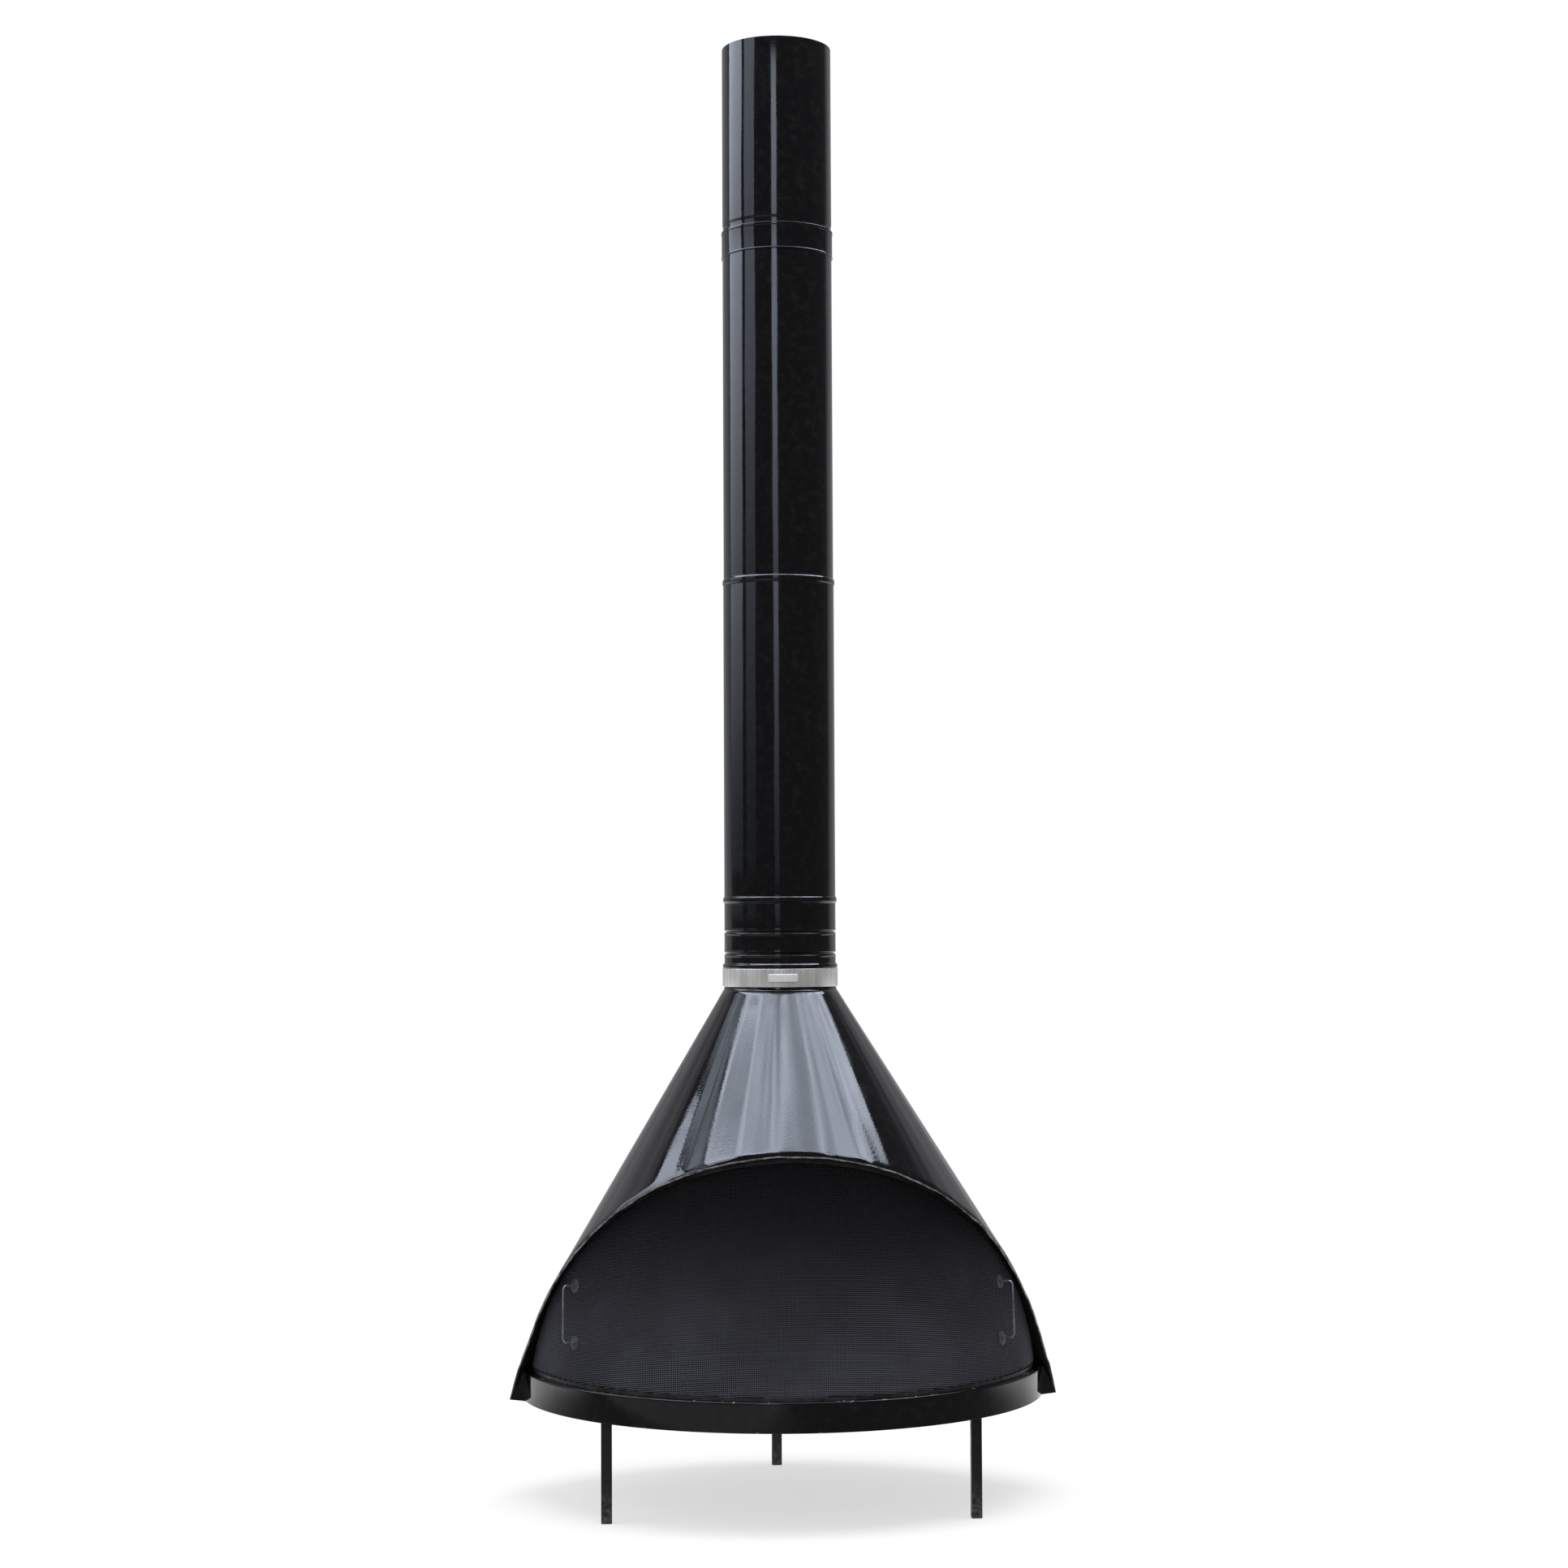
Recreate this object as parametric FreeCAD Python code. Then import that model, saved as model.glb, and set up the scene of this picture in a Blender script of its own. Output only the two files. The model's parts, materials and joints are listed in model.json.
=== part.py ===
import FreeCAD, Part
import math
import os

# Free-standing cone fireplace with a stove-pipe flue, in millimetres.
# +Z is up, the opening faces -Y, the floor is Z = 0, and X = Y = 0 is the middle of the
# footprint. The flue axis stands behind the middle, at Y = FLUE_Y.

V = FreeCAD.Vector

# ---- Sheet, clearances and fasteners
SHEET = 1.6              # hood, hearth band and gussets
PIPE_WALL = 0.8          # stove pipe
SLIP = 0.15              # radial clearance of a pipe end inside the next pipe
LIFT = 0.4               # air under the loose screen
SPINDLE_CLEAR = 0.10     # radial running clearance of the damper spindle
FAR = 1500.0             # reach of cutting tools

# ---- Hearth and hood
HEARTH_Z = 175.0         # lower edge of the hearth band and of the hood
HOOD_HEIGHT = 740.0      # lower edge to the neck
NECK_OUT = 0.7           # the hood's neck stands proud of the pipe above it by this
NECK_HEIGHT = 38.0
HOOD_OUT = 75.0          # how much larger the hood's base circle is than the hearth band's
HOOD_BASE_FORWARD = 320.0    # base circle centre, forward of the flue axis
CUT_FOOT = 75.0          # the opening's lower corners, forward of the flue axis
CUT_LEAN = 321.0         # how much further forward the top of the cut line is
CUT_RISE = 462.0         # and how much higher
CUT_BOW = 25.0           # how far the cut line bows back from a straight line
HEM_WIDTH = 9.0
BAND_R = 481.0           # outside radius of the hearth band
BAND_FORWARD = -8.0      # its centre, forward of the flue axis
BAND_HEIGHT = 52.0
BAND_LIP = 16.0          # width of the lip that the screen stands on
BAND_RETURN = 9.0        # length of the folded ends of the band
BAND_END = 95.0          # the band's ends, forward of the flue axis
GUSSET_RISE = 10.0       # how far the gussets' far corners stand above the band

# ---- Pan and firebrick
PAN_RECESS = 6.0         # underside of the pan above the band's lower edge
PAN_SHEET = 2.5
PAN_RIM = 24.0
BRICK_THICK = 24.0
BRICK_GAP = 2.0

# ---- Legs
LEG_SIZE = 19.0
LEG_WALL = 1.6
LEG_CORNER = 2.2
LEG_ANGLE = 44.3         # front legs, in degrees round the hearth band from the front
LEG_INSET = 20.0         # front legs' centres inside the band's outer face
LEG_REAR_INSET = 30.0    # rear leg's centre inside the hood's back
LEG_PLATE = 56.0
LEG_PLATE_DEPTH = 30.0
LEG_PLATE_THICK = 3.0
GLIDE_HEIGHT = 6.0
GLIDE_PLUG = 16.0
BOLT_R = 3.0
BOLT_CLEAR = 0.3         # radial clearance of the bolts in their holes
BOLT_OFFSET = 20.0       # bolt centres from the leg's centre
BOLT_HEAD_AF = 10.0
BOLT_HEAD_THICK = 4.0
NUT_AF = 10.0
NUT_THICK = 5.0

# ---- Flue, from the top of the neck upwards
PIPE_R = 102.4           # outside radius of the top and upper pipes
LOWER_PIPE_OUT = 0.9     # the lower pipe and the adapter are larger in radius by this
BEAD_HEIGHT = 14.0
BEAD_OUT = 2.3
ADAPTER_HEIGHT = 118.0
ADAPTER_SPIGOT = 9.0
ADAPTER_FOOT = 7.0       # height of the adapter's foot bead
ADAPTER_FOOT_IN = 0.5    # the foot bead is this much inside the trim band's face
GROOVE_HEIGHTS = (27.0, 67.0)    # groove centres above the adapter's foot
GROOVE_WIDTH = 4.0
GROOVE_DEPTH = 0.5
LOWER_PIPE_LENGTH = 592.0
UPPER_PIPE_LENGTH = 618.0
TOP_PIPE_LENGTH = 334.0
SPIGOT_LENGTH = 38.0
COLLAR_HEIGHT = 50.0
COLLAR_OUT = 2.1         # the collar stands proud of the pipe by this
COLLAR_LIP = 4.5
NECK_IN = 1.3            # the top pipe's necked end is smaller in radius by this
NECK_IN_SHOW = 12.5      # the necked stretch that shows above the collar
NECK_IN_SEAT = 6.0       # the necked end's clearance above the collar's shoulder
NECK_IN_TAPER = 4.0

# ---- Trim band and badge
TRIM_OUT = 2.9           # the trim band stands proud of the neck by this
TRIM_SHEET = 1.2
TRIM_GAP = 4.0           # bare neck below the trim band
BADGE_WIDTH = 54.0
BADGE_HEIGHT = 15.0
BADGE_THICK = 1.5

# ---- Screen
SCREEN_IN = 15.0         # the screen's radius is smaller than the band's by this
SCREEN_LEAN = 12.5       # degrees
SCREEN_SETBACK = 10.0    # outer face of the screen behind the band's front
SCREEN_THICK = 1.2
BINDING_THICK = 3.0
BINDING_WIDTH = 7.0
RAIL_HEIGHT = 6.0
WALL_CLEAR = 4.0         # screen edge to the hood's inner face
OPENING_CLEAR = 5.0      # screen edge inside the opening, seen from the front
HANDLE_ANGLE = 54.0      # degrees round from the front
HANDLE_LOW = 117.0       # lower handle hole above the band, along the screen
HANDLE_PITCH = 100.0
HANDLE_REACH = 26.0
HANDLE_WIRE_R = 1.6
HANDLE_BEND = 9.0
HANDLE_TAIL = 9.0
HANDLE_CLEAR = 0.3       # radial clearance of the handles in the mesh
WASHER_R = 12.5
WASHER_THICK = 1.2
WASHER_SEAT = 0.2        # the inner washers stand off the mesh by this
HANDLE_NUT_AF = 7.0
HANDLE_NUT_THICK = 3.0

# ---- Damper
DAMPER_GAP = 5.9         # damper's edge to the neck's inner face
DAMPER_THICK = 2.5
SPINDLE_R = 4.0
SPINDLE_HEIGHT = 18.0    # above the foot of the neck
SPINDLE_SHORT = 0.3      # the spindle's ends stop this short of the neck's outer face
DAMPER_ARM = 128.0
DAMPER_ARM_ANGLE = 38.0  # degrees between the arm and the plate
DAMPER_ARM_R = 3.0
DAMPER_RING_R = 15.0
DAMPER_LUG = 8.0
CLIP_OFFSET = 53.0       # clip centres from the middle of the spindle
CLIP_WIDTH = 26.0
CLIP_SHEET = 2.0
CLIP_FOOT = 14.0

# ---- Sizes and places worked out from those above
HOOD_BASE_R = BAND_R + HOOD_OUT
LOWER_PIPE_R = PIPE_R + LOWER_PIPE_OUT
NECK_R = LOWER_PIPE_R + NECK_OUT
NECK_IN_R = PIPE_R - NECK_IN
TRIM_R = NECK_R + TRIM_OUT
ADAPTER_FOOT_R = TRIM_R - ADAPTER_FOOT_IN
SCREEN_R = BAND_R - SCREEN_IN
BOLT_HOLE_R = BOLT_R + BOLT_CLEAR
DAMPER_R = NECK_R - SHEET - DAMPER_GAP
FLUE_Y = ((BAND_R + BAND_FORWARD) - (HOOD_BASE_R - HOOD_BASE_FORWARD)) / 2.0
BAND_Y = FLUE_Y - BAND_FORWARD
BAND_TOP = HEARTH_Z + BAND_HEIGHT
BAND_END_Y = FLUE_Y - BAND_END
CUT_FOOT_Y = FLUE_Y - CUT_FOOT
HOOD_TOP = HEARTH_Z + HOOD_HEIGHT
NECK_TOP = HOOD_TOP + NECK_HEIGHT
ADAPTER_TOP = NECK_TOP + ADAPTER_HEIGHT
LOWER_PIPE_TOP = ADAPTER_TOP + LOWER_PIPE_LENGTH
UPPER_PIPE_TOP = LOWER_PIPE_TOP + UPPER_PIPE_LENGTH
COLLAR_TOP = UPPER_PIPE_TOP + COLLAR_HEIGHT
FLUE_TOP = COLLAR_TOP + NECK_IN_SHOW + TOP_PIPE_LENGTH
SPINDLE_Z = HOOD_TOP + SPINDLE_HEIGHT
PAN_Z = HEARTH_Z + PAN_RECESS
PAN_FLOOR = PAN_Z + PAN_SHEET
COLLAR_R = PIPE_R + COLLAR_OUT
SIDE_SLOPE = (HOOD_BASE_R - NECK_R) / HOOD_HEIGHT


# ---- General shapes
def disc(radius, z_low, z_high, y=FLUE_Y):
    return Part.makeCylinder(radius, z_high - z_low, V(0, y, z_low))


def tube(r_out, r_in, z_low, z_high, y=FLUE_Y):
    return disc(r_out, z_low, z_high, y).cut(disc(r_in, z_low, z_high, y))


def block(x_low, x_high, y_low, y_high, z_low, z_high):
    size = V(x_high - x_low, y_high - y_low, z_high - z_low)
    return Part.makeBox(size.x, size.y, size.z, V(x_low, y_low, z_low))


def revolved(edges, y=FLUE_Y):
    """Turn a closed outline of edges in the XZ plane about the vertical axis at y."""
    face = Part.Face(Part.Wire(edges))
    face.translate(V(0, y, 0))
    return face.revolve(V(0, y, 0), V(0, 0, 1), 360)


def outline(points):
    """Straight edges through (x, z) points, closed."""
    corners = [V(x, 0, z) for x, z in points]
    pairs = zip(corners, corners[1:] + corners[:1])
    return [Part.LineSegment(a, b).toShape() for a, b in pairs]


def hexagon(across_flats, thick, centre, direction):
    """A hexagonal prism standing on its centre point along a direction."""
    radius = across_flats / math.sqrt(3.0)
    corners = []
    for step in range(7):
        angle = math.radians(60 * step)
        corners.append(V(radius * math.cos(angle), radius * math.sin(angle), 0))
    prism = Part.Face(Part.makePolygon(corners)).extrude(V(0, 0, thick))
    prism.Placement = FreeCAD.Placement(centre, FreeCAD.Rotation(V(0, 0, 1), direction))
    return prism


def mirrored(shape):
    return shape.mirror(V(0, 0, 0), V(1, 0, 0))


def save(shape, node):
    shape.exportStep("parts/%s.step" % node)


# ---- The hood is an oblique cone: circles that grow and move forward on the way down
def hood_radius(z):
    return NECK_R + SIDE_SLOPE * (HOOD_TOP - z)


def hood_centre(z):
    return FLUE_Y - HOOD_BASE_FORWARD * (HOOD_TOP - z) / HOOD_HEIGHT


def hood_ring(z, inset):
    circle = Part.makeCircle(hood_radius(z) - inset, V(0, hood_centre(z), z))
    return Part.Wire(circle)


def hood_body(z_low, z_high, inset):
    return Part.makeLoft([hood_ring(z_low, inset), hood_ring(z_high, inset)], True, True)


def cut_line_points():
    """Foot, middle and top of the line along which the opening is cut, seen from the side."""
    foot = V(0, CUT_FOOT_Y, HEARTH_Z)
    top = foot + V(0, -CUT_LEAN, CUT_RISE)
    along = top - foot
    normal = V(0, along.z, -along.y)
    normal.normalize()
    middle = foot + along * 0.5 + normal * CUT_BOW
    return foot, middle, top


def opening_cutter(shift):
    """All that lies in front of the cut line, moved back by shift."""
    foot, middle, top = cut_line_points()
    curve = Part.Arc(foot, middle, top)
    tangent = curve.toShape().tangentAt(curve.LastParameter)
    far_top = top + tangent * FAR
    far_low = V(0, far_top.y, -FAR)
    low = V(0, foot.y, -FAR)
    edges = [Part.LineSegment(low, foot).toShape(), curve.toShape()]
    for a, b in ((top, far_top), (far_top, far_low), (far_low, low)):
        edges.append(Part.LineSegment(a, b).toShape())
    face = Part.Face(Part.Wire(edges))
    face.translate(V(-FAR, shift, 0))
    return face.extrude(V(2 * FAR, 0, 0))


def cut_line_y(z):
    """The cut line's Y at a height, from its circle."""
    circle = Part.Arc(*cut_line_points()).toShape().Curve
    return circle.Center.y + math.sqrt(circle.Radius ** 2 - (z - circle.Center.z) ** 2)


def opening_half_width(z, inset):
    """Half the opening's width at a height, measured on the hood's inner face."""
    reach = cut_line_y(z) - hood_centre(z)
    radius = hood_radius(z) - inset
    return math.sqrt(max(radius ** 2 - reach ** 2, 0.0))


def opening_top(inset):
    """The height where the cut line meets the front of the hood, by bisection."""
    low, high = HEARTH_Z, HOOD_TOP - 1.0
    for _ in range(50):
        z = (low + high) / 2.0
        if hood_centre(z) - hood_radius(z) + inset < cut_line_y(z):
            low = z
        else:
            high = z
    return low


def opening_prism(inset):
    """The opening seen from the front, drawn in by inset and run through front to back."""
    crown = opening_top(SHEET)
    count = 14
    side = []
    for step in range(count):
        fraction = math.sin(math.radians(90.0 * step / count))
        z = HEARTH_Z + (crown - HEARTH_Z) * fraction
        side.append(V(opening_half_width(z, SHEET) - inset, 0, z - inset * fraction ** 6))
    right = [point for point in side if point.x > inset]
    left = [V(-point.x, 0, point.z) for point in reversed(right)]
    curve = Part.BSplineCurve()
    curve.interpolate(right + [V(0, 0, crown - inset)] + left)
    first, last = right[0], left[-1]
    low_right = V(first.x, 0, 0)
    low_left = V(last.x, 0, 0)
    edges = [curve.toShape()]
    for a, b in ((last, low_left), (low_left, low_right), (low_right, first)):
        edges.append(Part.LineSegment(a, b).toShape())
    face = Part.Face(Part.Wire(edges))
    face.translate(V(0, -FAR, 0))
    return face.extrude(V(0, 2 * FAR, 0))


def make_hood():
    shell = hood_body(HEARTH_Z, HOOD_TOP, 0)
    hollow = hood_body(HEARTH_Z - 20, HOOD_TOP + 0.01, SHEET)
    shell = shell.cut(hollow)
    shell = shell.cut(opening_cutter(0))
    inner = hood_body(HEARTH_Z, HOOD_TOP - 60, SHEET)
    inner = inner.cut(hood_body(HEARTH_Z - 20, HOOD_TOP - 50, 2 * SHEET))
    hem = inner.cut(opening_cutter(0)).common(opening_cutter(HEM_WIDTH))
    hem = hem.common(block(-FAR, FAR, -FAR, FAR, BAND_TOP + 14, FAR))
    neck = tube(NECK_R, NECK_R - SHEET, HOOD_TOP, NECK_TOP)
    hood = shell.fuse([neck, hem])
    spindle_hole = Part.makeCylinder(SPINDLE_R + SPINDLE_CLEAR, 2 * NECK_R + 20,
                                     V(-NECK_R - 10, FLUE_Y, SPINDLE_Z), V(1, 0, 0))
    return hood.cut(spindle_hole).removeSplitter()


# ---- Hearth
def band_half_width(radius, y):
    return math.sqrt(radius ** 2 - (y - BAND_Y) ** 2)


def make_hearth_band():
    front = block(-FAR, FAR, -FAR, BAND_END_Y, 0, FAR)
    wall = tube(BAND_R, BAND_R - SHEET, HEARTH_Z, BAND_TOP, BAND_Y)
    lip = tube(BAND_R - SHEET / 2, BAND_R - BAND_LIP, BAND_TOP - SHEET, BAND_TOP, BAND_Y)
    band = wall.fuse(lip).common(front)
    outer = band_half_width(BAND_R, BAND_END_Y)
    fold = block(outer - BAND_RETURN, outer - SHEET, BAND_END_Y - SHEET, BAND_END_Y,
                 PAN_FLOOR + PAN_RIM, BAND_TOP - SHEET)
    return band.fuse([fold, mirrored(fold)]).removeSplitter()


def gusset_line():
    """Where the right-hand gusset's front face stands, from the band's end to the hood's corner."""
    inner = V(band_half_width(BAND_R, BAND_END_Y), BAND_END_Y, 0)
    reach = CUT_FOOT_Y - hood_centre(HEARTH_Z)
    outer = V(math.sqrt(HOOD_BASE_R ** 2 - reach ** 2), CUT_FOOT_Y, 0)
    along = outer - inner
    along.normalize()
    return inner, outer, along


def behind_gussets(depth):
    """All that lies more than depth behind the gussets' front faces."""
    inner, _, along = gusset_line()
    start = inner + V(-along.y, along.x, 0) * depth
    wide = start + along * 300
    corners = [start, wide, V(wide.x, FAR, 0), V(-wide.x, FAR, 0), V(-wide.x, wide.y, 0),
               V(-start.x, start.y, 0), start]
    return Part.Face(Part.makePolygon(corners)).extrude(V(0, 0, FAR))


def pan_outline(z_low, z_high, inset):
    """The space inside the hood, the gussets and the hearth band between two heights."""
    rear = hood_body(z_low, z_high, SHEET + inset).common(behind_gussets(SHEET + inset))
    front = disc(BAND_R - SHEET - inset, z_low, z_high, BAND_Y)
    inner, _, along = gusset_line()
    front_end = BAND_END_Y + along.x * (SHEET + inset)
    front = front.common(block(-FAR, FAR, -FAR, front_end, 0, FAR))
    return rear.fuse(front).removeSplitter()


def leg_places():
    reach = BAND_R - LEG_INSET
    front_x = reach * math.sin(math.radians(LEG_ANGLE))
    front_y = BAND_Y - reach * math.cos(math.radians(LEG_ANGLE))
    back = hood_centre(HEARTH_Z) + HOOD_BASE_R
    return {
        "front_left": (-front_x, front_y),
        "front_right": (front_x, front_y),
        "rear": (0.0, back - LEG_REAR_INSET),
    }


def leg_turn(x, y):
    """The turn that lays a leg's plate along the hearth's edge, in degrees."""
    return math.degrees(math.atan2(x, BAND_Y - y))


def bolt_places():
    """Two bolts on each leg plate, one on each side of the leg along the hearth's edge."""
    places = []
    for x, y in leg_places().values():
        turn = math.radians(leg_turn(x, y))
        for side in (-BOLT_OFFSET, BOLT_OFFSET):
            places.append((x + side * math.cos(turn), y + side * math.sin(turn)))
    return places


def make_pan():
    tray = pan_outline(PAN_Z, PAN_FLOOR + PAN_RIM, 0)
    tray = tray.cut(pan_outline(PAN_FLOOR, PAN_FLOOR + PAN_RIM, PAN_SHEET))
    for x, y in bolt_places():
        tray = tray.cut(disc(BOLT_HOLE_R, PAN_Z - 1, PAN_FLOOR + 1, y).translate(V(x, 0, 0)))
    return tray


def make_firebrick():
    brick = pan_outline(PAN_FLOOR, PAN_FLOOR + BRICK_THICK, PAN_SHEET + BRICK_GAP)
    for x, y in bolt_places():
        pocket = disc(NUT_AF, PAN_FLOOR - 1, PAN_FLOOR + NUT_THICK + 4, y)
        brick = brick.cut(pocket.translate(V(x, 0, 0)))
    return brick


def make_gusset():
    """The right-hand plate that closes the wedge between the band's end and the hood."""
    inner, outer, along = gusset_line()
    width = (outer - inner).Length * 2
    corners = [V(0, 0, 0), V(width, 0, 0), V(width, 0, BAND_HEIGHT + GUSSET_RISE),
               V(0, 0, BAND_HEIGHT), V(0, 0, 0)]
    plate = Part.Face(Part.makePolygon(corners)).extrude(V(0, SHEET, 0))
    turn = math.degrees(math.atan2(along.y, along.x))
    plate.Placement = FreeCAD.Placement(V(inner.x, inner.y, HEARTH_Z),
                                        FreeCAD.Rotation(V(0, 0, 1), turn))
    return plate.common(hood_body(HEARTH_Z, HOOD_TOP, SHEET))


# ---- Legs
def square_bar(size, corner, z_low, z_high):
    bar = block(-size / 2, size / 2, -size / 2, size / 2, z_low, z_high)
    uprights = [edge for edge in bar.Edges if abs(edge.tangentAt(0).z) > 0.5]
    return bar.makeFillet(corner, uprights)


def make_leg(turn):
    plate_low = PAN_Z - LEG_PLATE_THICK
    post = square_bar(LEG_SIZE, LEG_CORNER, GLIDE_HEIGHT, plate_low)
    hollow = square_bar(LEG_SIZE - 2 * LEG_WALL, LEG_CORNER / 2, GLIDE_HEIGHT, plate_low)
    half = LEG_PLATE / 2
    depth = LEG_PLATE_DEPTH / 2
    plate = block(-half, half, -depth, depth, plate_low, PAN_Z)
    for side in (-BOLT_OFFSET, BOLT_OFFSET):
        plate = plate.cut(Part.makeCylinder(BOLT_HOLE_R, LEG_PLATE_THICK + 2,
                                            V(side, 0, plate_low - 1)))
    plate.rotate(V(0, 0, 0), V(0, 0, 1), turn)
    return post.cut(hollow).fuse(plate).removeSplitter()


def make_glide():
    foot = square_bar(LEG_SIZE, LEG_CORNER, 0, GLIDE_HEIGHT)
    rim = [edge for edge in foot.Edges if edge.BoundBox.ZMax < 0.001]
    foot = foot.makeChamfer(1.2, rim)
    plug = square_bar(LEG_SIZE - 2 * LEG_WALL - 0.1, LEG_CORNER / 2, GLIDE_HEIGHT,
                      GLIDE_HEIGHT + GLIDE_PLUG)
    return foot.fuse(plug).removeSplitter()


def make_leg_bolt():
    plate_low = PAN_Z - LEG_PLATE_THICK
    head = hexagon(BOLT_HEAD_AF, BOLT_HEAD_THICK, V(0, 0, plate_low), V(0, 0, -1))
    shank = Part.makeCylinder(BOLT_R, PAN_FLOOR + NUT_THICK + 2 - plate_low,
                              V(0, 0, plate_low))
    return head.fuse(shank).removeSplitter()


def make_leg_nut():
    nut = hexagon(NUT_AF, NUT_THICK, V(0, 0, PAN_FLOOR), V(0, 0, 1))
    return nut.cut(Part.makeCylinder(BOLT_R, NUT_THICK + 2, V(0, 0, PAN_FLOOR - 1)))


# ---- Flue
def bead(radius, z_low, height, out, flat):
    """A half-round ring round a pipe, with a flat underside that seats on the next pipe."""
    top = V(radius, 0, z_low + height)
    middle = V(radius + out, 0, z_low + height / 2)
    low = V(radius + flat, 0, z_low)
    root_low = V(radius - PIPE_WALL / 2, 0, z_low)
    root_top = V(radius - PIPE_WALL / 2, 0, z_low + height)
    edges = [Part.Arc(low, middle, top).toShape()]
    for a, b in ((top, root_top), (root_top, root_low), (root_low, low)):
        edges.append(Part.LineSegment(a, b).toShape())
    return revolved(edges)


def beaded_pipe(radius, z_low, z_high, socket_r):
    """A pipe whose beaded lower end seats on a socket pipe and slips inside it."""
    body = tube(radius, radius - PIPE_WALL, z_low, z_high)
    spigot_r = socket_r - PIPE_WALL - SLIP
    spigot = tube(spigot_r, spigot_r - PIPE_WALL, z_low - SPIGOT_LENGTH, z_low)
    shoulder = tube(radius, spigot_r - PIPE_WALL, z_low, z_low + PIPE_WALL)
    ring = bead(radius, z_low, BEAD_HEIGHT, BEAD_OUT, socket_r - radius)
    return body.fuse([spigot, shoulder, ring]).removeSplitter()


def make_adapter():
    inner_r = LOWER_PIPE_R - PIPE_WALL
    body = tube(LOWER_PIPE_R, inner_r, NECK_TOP, ADAPTER_TOP)
    for height in GROOVE_HEIGHTS:
        middle = NECK_TOP + height
        corners = [(LOWER_PIPE_R + 1, middle + GROOVE_WIDTH),
                   (LOWER_PIPE_R - GROOVE_DEPTH, middle),
                   (LOWER_PIPE_R + 1, middle - GROOVE_WIDTH)]
        body = body.cut(revolved(outline(corners)))
    foot = bead(LOWER_PIPE_R, NECK_TOP, ADAPTER_FOOT, ADAPTER_FOOT_R - LOWER_PIPE_R, 2.0)
    spigot_r = NECK_R - SHEET - SLIP
    spigot = tube(spigot_r, spigot_r - PIPE_WALL, NECK_TOP - ADAPTER_SPIGOT, NECK_TOP)
    shoulder = tube(LOWER_PIPE_R, spigot_r - PIPE_WALL, NECK_TOP, NECK_TOP + PIPE_WALL)
    return body.fuse([foot, spigot, shoulder]).removeSplitter()


def make_collar():
    inner_r = COLLAR_R - PIPE_WALL
    body = tube(COLLAR_R, inner_r, UPPER_PIPE_TOP, COLLAR_TOP)
    lip = tube(COLLAR_R, NECK_IN_R, COLLAR_TOP - COLLAR_LIP, COLLAR_TOP)
    rim = [edge for edge in lip.Edges if edge.BoundBox.ZMin > COLLAR_TOP - 0.01]
    outer = [edge for edge in rim if edge.BoundBox.XMax > COLLAR_R - 0.01]
    lip = lip.makeFillet(1.4, outer)
    spigot_r = PIPE_R - PIPE_WALL - SLIP
    step = tube(COLLAR_R, spigot_r - PIPE_WALL, UPPER_PIPE_TOP, UPPER_PIPE_TOP + 1.2)
    spigot = tube(spigot_r, spigot_r - PIPE_WALL, UPPER_PIPE_TOP - SPIGOT_LENGTH,
                  UPPER_PIPE_TOP + 1)
    return body.fuse([lip, step, spigot]).removeSplitter()


def make_top_pipe():
    neck_low = UPPER_PIPE_TOP + NECK_IN_SEAT
    shoulder = COLLAR_TOP + NECK_IN_SHOW
    taper_low = shoulder - NECK_IN_TAPER
    corners = [(PIPE_R, FLUE_TOP), (PIPE_R, shoulder), (NECK_IN_R, taper_low),
               (NECK_IN_R, neck_low), (NECK_IN_R - PIPE_WALL, neck_low),
               (NECK_IN_R - PIPE_WALL, taper_low), (PIPE_R - PIPE_WALL, shoulder),
               (PIPE_R - PIPE_WALL, FLUE_TOP)]
    return revolved(outline(corners))


# ---- Trim
def make_trim_band():
    low = HOOD_TOP + TRIM_GAP
    corners = [(TRIM_R, low), (TRIM_R, NECK_TOP), (NECK_R, NECK_TOP),
               (NECK_R, NECK_TOP - TRIM_SHEET), (TRIM_R - TRIM_SHEET, NECK_TOP - TRIM_SHEET),
               (TRIM_R - TRIM_SHEET, low + TRIM_SHEET), (NECK_R, low + TRIM_SHEET),
               (NECK_R, low)]
    return revolved(outline(corners))


def make_badge():
    """A plain raised plate on the front of the trim band."""
    middle = (HOOD_TOP + TRIM_GAP + NECK_TOP) / 2
    ring = tube(TRIM_R + BADGE_THICK, TRIM_R, middle - BADGE_HEIGHT / 2,
                middle + BADGE_HEIGHT / 2)
    frame = block(-BADGE_WIDTH / 2, BADGE_WIDTH / 2, FLUE_Y - FAR, FLUE_Y,
                  middle - BADGE_HEIGHT / 2, middle + BADGE_HEIGHT / 2)
    corners = [edge for edge in frame.Edges if abs(edge.tangentAt(0).y) > 0.5]
    return ring.common(frame.makeFillet(4.0, corners))


# ---- Screen: part of a cylinder that leans back
LEAN = math.radians(SCREEN_LEAN)
SCREEN_AXIS = V(0, math.sin(LEAN), math.cos(LEAN))
SCREEN_BACK = V(0, math.cos(LEAN), -math.sin(LEAN))
SCREEN_FRONT_Y = BAND_Y - BAND_R + SCREEN_SETBACK
SCREEN_FOOT = V(0, SCREEN_FRONT_Y, BAND_TOP) + SCREEN_BACK * SCREEN_R


def screen_tube(thick):
    base = SCREEN_FOOT - SCREEN_AXIS * 300
    outer = Part.makeCylinder(SCREEN_R + thick / 2, 1200, base, SCREEN_AXIS)
    inner = Part.makeCylinder(SCREEN_R - thick / 2, 1200, base, SCREEN_AXIS)
    return outer.cut(inner)


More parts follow.
